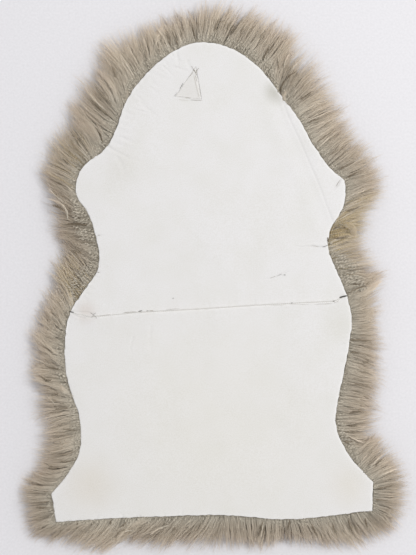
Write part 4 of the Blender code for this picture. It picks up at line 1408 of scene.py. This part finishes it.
def fill_ring(verts, faces, ring, spacing, height, flip):
    """Fill a ring of the core with triangles over a lattice."""
    outline = np.array([verts[k][:2] for k in ring])
    inner = lattice(outline, spacing)
    numbers = list(ring) + list(range(len(verts), len(verts) + len(inner)))
    verts.extend(np.column_stack([inner, height(inner)]).tolist())
    for face in triangles(outline, inner):
        face = [numbers[k] for k in face]
        faces.append(face[::-1] if flip else face)


def crimp_starts(edge, named, dice):
    """Where the bundles of crimp are rooted: how far along the edge, and how far out from it."""
    free = np.array(sorted(named))
    clear = np.array([CRIMP_CLEAR * named[place].depth_mm for place in free])
    rows = []
    for row in range(CRIMP_ROWS):
        place = np.arange(0, edge.length, CRIMP_PITCH) + (row % 2) * CRIMP_PITCH / 2
        place = place + dice.normal(0, CRIMP_ASTRAY, len(place))
        start = row * CRIMP_LENGTH * CRIMP_ROW_STEP + dice.uniform(*CRIMP_ROW_UNEVEN, len(place))
        keep = start + CRIMP_LEAST_SHARE * CRIMP_LENGTH < edge.lie(place).crimp
        keep &= (np.abs(place[:, None] - free[None]) > clear[None]).all(axis=1)
        rows.append(np.column_stack([place, start])[keep])
    return np.concatenate(rows).T


def crimped_wool(edge, named, finish, dice):
    """The crimped wool next to the cut edge: small bundles whose fibres wave together, with the deep
    partings left free.
    """
    place, start = crimp_starts(edge, named, dice)
    bundles = len(place)
    lay = edge.lie(place)
    length = np.clip(lay.crimp - start + 4, 9, CRIMP_LENGTH) * dice.uniform(0.85, 1.1, bundles)
    turn = dice.normal(0, 7, bundles) * (0.7 + 1.6 * lay.tangle)
    bend = lay.root_deg + (lay.tip_deg - lay.root_deg) * 0.3 + dice.normal(0, 9, bundles)
    phase = 2.2 * wavy(place, edge.length, dice, CRIMP_WAVES) + dice.normal(0, 0.7, bundles)
    wave_length = dice.uniform(*CRIMP_WAVE_LENGTHS, bundles)
    high = edge.top(place) - CRIMP_DOWN + dice.normal(0, 0.6, bundles)
    size = dice.uniform(*CRIMP_WAVE_SIZES, bundles) * np.clip(length / 15, 0.5, 1.0)
    size = size * np.clip(0.45 + lay.crimp / 36 + lay.tangle, 0, 1.2)

    owner = np.repeat(np.arange(bundles), CRIMP_FIBRES)
    count = len(owner)
    share = np.linspace(0, 1, CRIMP_POINTS)
    across = np.clip(dice.normal(0, 0.45, count), -1, 1)
    root_out = np.maximum(start[owner] + dice.normal(0, 1.0, count), CRIMP_FARTHEST_IN)
    root = edge.at(place)[owner] + heading(lay.root_deg[owner]) * root_out[:, None]
    root = root + heading(lay.root_deg[owner] + 90) * (across * CRIMP_PITCH * 0.36)[:, None]
    path, angle = bend_path(
        root, (lay.root_deg + turn)[owner], (bend + turn)[owner], np.zeros(count), length[owner],
        CRIMP_POINTS,
    )
    run = share[None] * (length / wave_length)[owner][:, None]
    wave_angle = 2 * math.pi * run + (phase[owner] + dice.normal(0, 0.35, count))[:, None]
    wave = np.sin(wave_angle) * size[owner][:, None]
    path = path + heading(angle + 90) * wave[:, :, None]
    crest = np.sin(wave_angle + 0.9)
    level = (high[owner] - 2.0 * across ** 2)[:, None] + crest * size[owner][:, None]
    level = level + 0.8 * np.sin(math.pi * share)[None] - CRIMP_TIP_DROP * (share ** 3)[None]
    level = np.minimum(level + dice.normal(0, 0.12, (count, CRIMP_POINTS)), WOOL_TOP)
    widths = dice.uniform(*CRIMP_WIDTHS, count)[:, None] * (1 - 0.45 * share ** 2)[None]
    # Painted shade at a bundle's sides, where bundles meet, and painted light and shade on its waves.
    tone = dice.normal(0.44, 0.06, bundles)[owner] - 0.25 * across ** 2 + dice.normal(0, 0.05, count)
    tone = tone[:, None] + CREST_PAINTED_LIGHT_AND_SHADE * crest * size[owner][:, None]
    yellow = dice.uniform(0, 1, count) < np.maximum(lay.stain - 0.25, 0)[owner]
    ribbons(
        "wool_crimp", with_height(path, level), widths, dice.normal(0, 30, count),
        stained(tone, yellow[:, None]), finish, root_share=CRIMP_SHARE,
    )


def laid_lock(lock, dice):
    """The paths, widths and tones of one laid lock's fibres, narrow at the root and drawn out at the
    tip, in streaks that differ in tone, height and length.
    """
    root, middle, tip = (np.array(point, float) for point in (lock.root, lock.middle, lock.tip))
    pull = 2 * middle - (root + tip) / 2
    count = lock.fibres
    share = np.linspace(0, 1, TUFT_POINTS)
    streak = dice.integers(0, max(3, round(lock.wide_mm / STREAK_WIDTH)), count)
    middles, paler, higher, longer = dice.normal(0, 1, (4, streak.max() + 1))
    start = dice.uniform(*LAID_STARTS, count)
    end = LAID_END + 0.10 * longer[streak] + dice.normal(0, 0.11, count)
    end = np.clip(end, 0.5, 1.08)
    t = start[:, None] + (end - start)[:, None] * share[None]
    plan = (1 - t)[:, :, None] ** 2 * root
    plan = plan + (2 * t * (1 - t))[:, :, None] * pull + t[:, :, None] ** 2 * tip
    side = left_of(unit(np.gradient(plan, axis=1)))
    across = 0.5 * middles[streak] + dice.normal(0, min(0.4, 3.8 / lock.wide_mm), count)
    spread = (0.4 + 0.6 * np.sin(math.pi * np.clip(t / 1.3, 0, 1))) * lock.wide_mm / 2
    wave = LAID_WAVE_MM * np.sin(2 * math.pi * t * LAID_WAVES + across[:, None] * 2)
    wave = wave + dice.normal(0, 0.3, t.shape)
    plan = kept_near(plan + side * (across[:, None] * spread + wave)[:, :, None])

    rounding = (1.5 * across + 2.0 * across ** 2)[:, None]
    crown = lock.high_mm - rounding - LAID_ROOT_DROP * (1 - np.clip(3 * t, 0, 1)) ** 2
    drop = lock.fall_mm * np.clip((t - 0.25) / 0.95, 0, 1) ** 2
    high = crown - drop + (0.6 * higher[streak] - dice.uniform(0, 1.5, count))[:, None]
    path = with_height(plan, np.clip(high, LAID_LEAST_HEIGHT, WOOL_TOP))
    thin = tapered(TUFT_POINTS)[None] * np.minimum(0.4 + 4 * share, 1)[None]
    widths = dice.uniform(*LAID_WIDTHS, count)[:, None] * thin
    # Painted light: a lock is paler on its right-hand side, seen from root to tip, as if lit from the upper
    # right.
    tone = lock.tone - 0.05 * across + STREAK_TONE * paler[streak] + dice.normal(0, 0.05, count)
    return path, widths, stained(tone, dice.uniform(0, 1, count) < lock.stain)


def laid_locks(name, locks, finish, dice):
    """Single locks that lie over the combed wool, joined in one piece."""
    laid = [laid_lock(lock, dice) for lock in locks]
    paths, widths, tones = (np.concatenate(part) for part in zip(*laid))
    roll = dice.normal(0, 25, len(paths))
    ribbons(name, paths, widths, roll, tones[:, None], finish, shift=0.3)


def lock_from(line, edge):
    """A painted highlight or shade line, as a lock that keeps to the slope of the outer wool under it."""
    root, middle, tip, wide, tone = line
    foot = np.array([edge.nearest(root), edge.nearest(tip)])
    out = np.linalg.norm(np.array([root, tip], float) - edge.at(foot), axis=1)
    root_share, tip_share = np.clip(out / edge.lie(foot).reach, 0, 1)
    sunk = LINE_SINKS * root_share ** 3
    fall = LINE_FALL + LINE_TIP_FALL * tip_share ** 3 - sunk
    fibres = round(LINE_FIBRES * wide)
    return Tuft("line", root, middle, tip, wide, fibres, LINE_HIGH - sunk, max(fall, LINE_FALL), tone, 0.0)


def sole_wool(edge, finish, dice):
    """Locks pressed flat under the rug, combed from the crown to the hem, and outward near the rim."""
    place = np.arange(0, edge.length, SOLE_EDGE_STEP)
    lay = edge.lie(place)
    outline = edge.at(place) + heading(lay.root_deg) * (lay.reach * SOLE_OUT)[:, None]
    seeds = lattice(outline, SOLE_LOCK_SPACING, 0.2)
    seeds = seeds + dice.normal(0, 4.0, seeds.shape)
    nearest, gaps = nearest_of(seeds, edge.at(place))
    rim_share = np.clip(1.3 - gaps / 60, 0, 1)[:, None]
    flow = -90 + seeds[:, 0] * 0.13 + 22 * np.sin(seeds[:, 1] / 90 + seeds[:, 0] / 120)
    way = (1 - rim_share) * heading(flow) + rim_share * heading(lay.root_deg[nearest])
    flow = np.degrees(np.arctan2(way[:, 1], way[:, 0]))

    owner = np.repeat(np.arange(len(seeds)), SOLE_FIBRES)
    count = len(owner)
    lock_turn = flow + dice.normal(0, 14, len(seeds))
    lock_bend = dice.normal(0, 30, len(seeds))
    root = seeds[owner] + dice.normal(0, 5.0, (count, 2))
    at_rim = rim_share[:, 0] > 0.3
    longest = np.where(at_rim, SOLE_RIM_LENGTH * lay.reach[nearest], SOLE_LENGTHS[1])
    length = np.minimum(dice.uniform(*SOLE_LENGTHS, count), longest[owner])
    share = np.linspace(0, 1, SOLE_POINTS)
    start = lock_turn[owner] + dice.normal(0, 6, count)
    bend = lock_bend[owner] + dice.normal(0, 10, count)
    path, _ = bend_path(root, start, start + bend, np.zeros(count), length, SOLE_POINTS)
    close_up = dice.uniform(*SOLE_CLOSE, count)[:, None] * share[None]
    path = kept_near(path + (seeds[owner] - root)[:, None] * close_up[:, :, None])
    high = SOLE_ROOT_HIGH * (1 - share)[None] ** 3 + dice.uniform(*SOLE_HEIGHTS, count)[:, None]
    high = np.maximum(high + dice.normal(0, 0.3, (count, SOLE_POINTS)), SOLE_LEAST_HEIGHT)
    widths = dice.uniform(*SOLE_WIDTHS, count)[:, None] * (1 - 0.7 * share ** 2)[None]
    tone = COAT_TONE + dice.normal(0, 0.10, len(seeds))[owner] + dice.normal(0, 0.12, count)
    roll = dice.normal(0, 14, count)
    ribbons("wool_sole", with_height(path, high), widths, roll, stained(tone[:, None], False), finish)


# --- the leather ---

def nearest_on(line, points):
    """Distance from points to a line, and how far along it the nearest place is, from 0 to 1."""
    line = np.asarray(line, float)
    run = run_along(line)
    best = np.full(len(points), np.inf)
    share = np.zeros(len(points))
    for a, b, before, after in zip(line, line[1:], run, run[1:]):
        t = np.clip(((points - a) @ (b - a)) / (after - before) ** 2, 0, 1)
        away = np.linalg.norm(points - (a + t[:, None] * (b - a)), axis=1)
        nearer = away < best
        best = np.where(nearer, away, best)
        share = np.where(nearer, (before + t * (after - before)) / run[-1], share)
    return best, share


def rows_beside(line, half):
    """Points along both sides of a line, close enough together to hold a crease."""
    line = np.asarray(line, float)
    run = run_along(line)
    at = np.linspace(0, run[-1], max(2, int(run[-1] / CREASE_STEP) + 1))
    middle = points_along(line, run, at)
    side = left_of(unit(np.gradient(middle, axis=0)))
    return np.concatenate([middle + side * half * k for k in ROWS_OF_CREASE])


def inset(outline, distance):
    """A row of points at a distance from an outline, on its right, but for those that crowd it."""
    moved = moved_in(outline, distance)
    return moved[gap_between(moved, outline) > distance * CROWDED]


def apart(points, least):
    """Points with those left out that lie too near an earlier one."""
    taken = set()
    kept = []
    for k, point in enumerate(points):
        cell = (int(point[0] // least), int(point[1] // least))
        if all((cell[0] + i, cell[1] + j) not in taken for i in (-1, 0, 1) for j in (-1, 0, 1)):
            taken.add(cell)
            kept.append(k)
    return points[kept]


def cut_by_hand(outline, other, seed):
    """The cut edge's small unevenness, and a seam edge that is drawn up to the other panel."""
    run = run_round(outline)[1:]
    whole = run[-1]
    waves = [round(whole / mm) for mm in CUT_WAVES_MM]
    uneven = wavy(run, whole, np.random.default_rng(seed), waves)
    out = outline - moved_in(outline, 1.0)
    at_seam = gap_between(outline, other) <= SEAM_NEAR
    calm = np.clip(gap_between(outline, outline[at_seam]) / CALM_BY_SEAM, 0, 1)
    moved = outline + out * (UNEVEN_CUT * uneven * calm)[:, None]
    moved[at_seam] += out[at_seam] * SEAM_DRAW
    return moved


def wrinkles(edge, dice):
    """Short creases that run in from the cut edge, where the hide was stretched when it dried."""
    made = []
    for first, last, count, longest, turn in WRINKLED_RUNS:
        places = np.linspace(edge.nearest(first), edge.nearest(last), count)
        for place in places + dice.normal(0, 2.5, count):
            ahead = edge.at(place + 2.0) - edge.at(place - 2.0)
            inward = math.degrees(math.atan2(ahead[1], ahead[0])) - 90 + turn + dice.normal(0, 17)
            long = longest * dice.uniform(0.2, 1.0)
            root = edge.at(place) + heading(inward) * long * dice.uniform(0.0, 0.5)
            middle = root + heading(inward) * long * 0.4
            tip = middle + heading(inward + dice.normal(0, 22)) * long * 0.4
            depth = dice.uniform(*WRINKLE_DEPTHS)
            half = dice.uniform(*WRINKLE_HALVES)
            made.append(Crease("wrinkle", depth, half, 1.0, 0.0, (root, middle, tip)))
    return made


def relief(points, outline, creases, seam):
    """How far the hide stands above the frame's plain sheet at points of it, and how far from its
    outline they are.
    """
    x = points[:, 0]
    y = points[:, 1]
    high = SWELL_MM * np.sin(x / 23 + 1.7 * np.sin(y / 37))
    high = high * np.sin(y / 29 + 1.1 * np.sin(x / 19))
    nearest, from_edge = nearest_of(points, outline)
    place = run_round(outline)[nearest]
    ripple = np.sin(place / 2.1 + 2.0 * np.sin(place / 17)) + 0.7 * np.sin(place / 3.9 + 1.0)
    high = high + RIPPLE_MM * ripple * np.exp(-from_edge / RIPPLE_REACH)
    high = high - EDGE_DROP * np.exp(-from_edge / EDGE_DROP_REACH)
    for crease in creases:
        away, share = nearest_on(crease.points, points)
        depth = crease.depth_mm * (crease.start + (crease.end - crease.start) * share)
        high = high - depth * np.exp(-((away / crease.half_mm) ** 2))
        high = high + CREASE_BANK * depth * np.exp(-((away / crease.half_mm - 2.0) ** 2))
    away, _ = nearest_on(seam, points)
    high = high + SEAM_RIDGE * np.exp(-(((away - 2.6) / 1.6) ** 2))
    high = high - SEAM_DIP * np.exp(-(away / 0.8) ** 2)
    return high, from_edge


def sheet_plan(rims, creases):
    """A sheet's points on the plane: its rims, rows of points beside them and beside the creases, and
    a lattice between.
    """
    outline = rims[0]
    rows = [inset(rim, distance) for rim in rims for distance in RIM_ROWS]
    rows += [rows_beside(crease.points, crease.half_mm) for crease in creases]
    close_rows = np.concatenate(rows)
    close_rows = apart(close_rows[inside(outline, close_rows)], LEAST_APART)
    wide = lattice(outline, LEATHER_LATTICE)
    clear = gap_between(wide, close_rows) > ROWS_CLEAR * LEATHER_LATTICE
    inner = np.concatenate([close_rows, wide[clear]])
    for rim in rims:
        inner = inner[gap_between(inner, rim) > RIM_CLEAR]
    for hole in rims[1:]:
        inner = inner[~inside(hole, inner)]
    return np.concatenate(rims + [inner])


def leather_sheet(name, node_name, rims, creases, seam, finish):
    """A closed thin sheet on its node's place, with the hide's folds and its cut or sewn edges. Its
    rims are its outline and, after it, its holes.
    """
    outline = rims[0]
    holes = rims[1:]
    plan = sheet_plan(rims, creases)
    lift, from_edge = relief(plan, outline, creases, seam)
    top = height_of(node_name)(plan) + lift
    count = len(plan)
    verts = np.concatenate([np.column_stack([plan, top]), np.column_stack([plan, top - LEATHER_THICK])])
    skin = np.array(triangles(outline, plan[len(outline):]))
    for hole in holes:
        skin = skin[~inside(hole, plan[skin].mean(axis=1))]
    faces = skin.tolist() + (skin[:, ::-1] + count).tolist()
    first = 0
    for rim in rims:
        for k in range(len(rim)):
            here = first + k
            after = first + (k + 1) % len(rim)
            faces.append((here, after, after + count, here + count))
        first += len(rim)
    made = as_piece(name, mesh_of(name, verts, faces), finish, node_name)
    # The rim attribute carries the painted highlight along the cut edge, fading inward.
    rim_share = np.exp(-from_edge / RIM_HIGHLIGHT_FADE)
    made.data.attributes.new("rim", "FLOAT", "POINT")
    made.data.attributes["rim"].data.foreach_set("value", np.tile(rim_share, 2).astype(np.float32))


def tubes(name, runs, finish):
    """Threads joined in one mesh: each run is its points in millimetres and its diameter."""
    verts = []
    faces = []
    round_turn = heading(np.arange(TUBE_SIDES) * FULL_TURN / TUBE_SIDES)
    for points, diameter in runs:
        ways = unit(np.gradient(points, axis=0))
        side = unit(np.cross(ways, UP), TINY)
        over = np.cross(side, ways)
        halves = np.full(len(points), diameter / 2)
        halves[[0, -1]] *= THREAD_END
        first = len(verts)
        last = len(points) - 1
        for k, point in enumerate(points):
            for across, up in round_turn:
                verts.append(point + halves[k] * (side[k] * across + over[k] * up))
        for k in range(last):
            for turn in range(TUBE_SIDES):
                a = first + k * TUBE_SIDES + turn
                b = first + k * TUBE_SIDES + (turn + 1) % TUBE_SIDES
                faces.append((a, b, b + TUBE_SIDES, a + TUBE_SIDES))
        faces.append(tuple(range(first + TUBE_SIDES - 1, first - 1, -1)))
        faces.append(tuple(first + last * TUBE_SIDES + turn for turn in range(TUBE_SIDES)))
    as_piece(name, mesh_of(name, verts, faces), finish)


def stitch(start, end, top, lift, bow=0.0):
    """A thread's points from one place on the hide to another, up out of it and back in."""
    start = np.asarray(start, float)
    end = np.asarray(end, float)
    share = np.linspace(0, 1, STITCH_POINTS)
    arch = np.sin(math.pi * share)
    side = left_of(unit(end - start))
    plan = start + (end - start) * share[:, None] + side * (bow * arch)[:, None]
    return np.column_stack([plan, top(plan) + lift * arch - STITCH_SINKS * (1 - arch)])


def sewing(seam, threads):
    """The threads of the cross seam, of the patch and of the repairs."""
    upper = height_of("skin_upper")
    lower = height_of("skin_lower")
    dice = np.random.default_rng(STITCH_SEED)

    def seam_top(plan):
        return np.maximum(upper(plan), lower(plan)) + STITCH_ABOVE

    runs = []
    run = run_along(seam)
    for at in np.arange(3.0, run[-1] - 2.0, SEAM_STITCH):
        middle = points_along(seam, run, at)
        half = (dice.normal(0.9, 0.15), dice.uniform(1.3, 1.8))
        runs.append((stitch(middle - half, middle + half, seam_top, THREAD_WIDE), THREAD_WIDE))
    tubes("seam_thread", runs, threads["pale"])
    for name, colour, rows in SEWN_MARKS:
        runs = []
        for x0, y0, x1, y1, wide, lift, bow in rows:
            runs.append((stitch((x0, y0), (x1, y1), seam_top, lift, bow), wide))
        tubes(name, runs, threads[colour])


# --- the studio ---

def studio():
    """A white floor under an even sky, and one softbox high on the right for the soft shadow."""
    mesh = bpy.data.meshes.new("floor")
    corners = [(x * FLOOR_HALF, y * FLOOR_HALF, 0) for x, y in ((-1, -1), (1, -1), (1, 1), (-1, 1))]
    mesh.from_pydata(corners, [], [(0, 1, 2, 3)])
    floor = bpy.data.objects.new("floor", mesh)
    bpy.context.collection.objects.link(floor)
    mesh.materials.append(plain_finish("matte_white_board", "#dcdbdd", 0.8))

    world = bpy.data.worlds.new("studio")
    bpy.context.scene.world = world
    world.use_nodes = True
    sky = world.node_tree.nodes["Background"]
    sky.inputs["Color"].default_value = (0.985, 0.98, 1.0, 1.0)
    sky.inputs["Strength"].default_value = SKY_STRENGTH

    light = bpy.data.lights.new("softbox", "AREA")
    light.shape = "DISK"
    light.size = SOFTBOX_SIZE
    light.energy = SOFTBOX_WATTS
    softbox = bpy.data.objects.new("softbox", light)
    softbox.location = SOFTBOX_PLACE
    softbox.rotation_euler = (-Vector(softbox.location)).to_track_quat("-Z", "Y").to_euler()
    bpy.context.collection.objects.link(softbox)
    bpy.context.scene.view_settings.view_transform = "Standard"


def overhead_camera():
    """The photograph's camera, with a lens that shows as much of the leather as the photograph does."""
    data = bpy.data.cameras.new("overhead")
    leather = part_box("skin_upper")[1].z
    data.sensor_width = SENSOR
    data.lens = (CAMERA_HEIGHT - leather) * SENSOR / VIEW_HEIGHT
    camera = bpy.data.objects.new("overhead", data)
    camera.location = (CAMERA_X, 0.0, CAMERA_HEIGHT)
    bpy.context.collection.objects.link(camera)
    bpy.context.scene.camera = camera


def build():
    """The rug's leather and its sewing, its fleece, and the studio round it."""
    dice = np.random.default_rng(SEED)
    upper_loop, opening = top_loops("skin_upper")[:2]
    lower_loop = top_loops("skin_lower")[0]
    edge = CutEdge(upper_loop, lower_loop)

    # The last colour of each hide is the painted highlight along its cut edge.
    hide = tanned_hide("tanned_hide", "#dddcdb", "#dad9d6", "#efeeec")
    patch_hide = tanned_hide("tanned_hide_patch", "#d9d8d5", "#d6d4d1", "#e6e4e1")
    threads = {
        "pale": plain_finish("waxed_thread", "#cfcbc0", 0.5),
        "brown": plain_finish("waxed_thread_brown_and_crease_shade", "#75684f", 0.5),
        "dark": plain_finish("waxed_thread_dark", "#2f2a22", 0.5),
    }
    wool = combed_wool()
    felt = felted_wool()

    seam = seam_run(upper_loop, lower_loop) - (0, SEAM_HALF_GAP)
    hole = moved_in(smooth(opening, EDGE_STEP)[::-1], -PATCH_DRAW)
    folds = CREASES + tuple(wrinkles(edge, dice))
    upper = smooth(upper_loop, EDGE_STEP)
    lower = smooth(lower_loop, EDGE_STEP)
    for name, node_name, rims in (
        ("hide_upper", "skin_upper", [cut_by_hand(upper, lower, UPPER_SEED), hole]),
        ("hide_lower", "skin_lower", [cut_by_hand(lower, upper, LOWER_SEED)]),
    ):
        own = [fold for fold in folds if inside(rims[0], np.asarray(fold.points, float)).any()]
        leather_sheet(name, node_name, rims, own, seam, hide)
    patch = moved_in(smooth(top_loops("skin_patch")[0], EDGE_STEP), -PATCH_DRAW)
    leather_sheet("hide_patch", "skin_patch", [patch], (), seam, patch_hide)
    sewing(seam, threads)

    felted_core(edge, felt, dice)
    named = {edge.nearest(parting[:2]): parting for parting in PARTINGS}
    crimped_wool(edge, named, wool, dice)
    starts = sorted(named)
    for number, coat in enumerate(COATS):
        coat_dice = np.random.default_rng(COAT_SEED + number)
        grow_coat(edge, coat, staples_of(edge, starts, coat_dice), named, wool, coat_dice)
        named = {}
        starts = starts[:1]
    pale = [lock_from(line, edge) for line in PAINTED_HIGHLIGHT_LINES]
    laid_locks("wool_tufts", TUFTS + tuple(pale), wool, dice)
    dark = [lock_from(line, edge) for line in PAINTED_SHADE_LINES]
    laid_locks("wool_parting_shade", dark, painted_shade_wool(), dice)
    sole_wool(edge, wool, dice)
    studio()
    overhead_camera()


build()
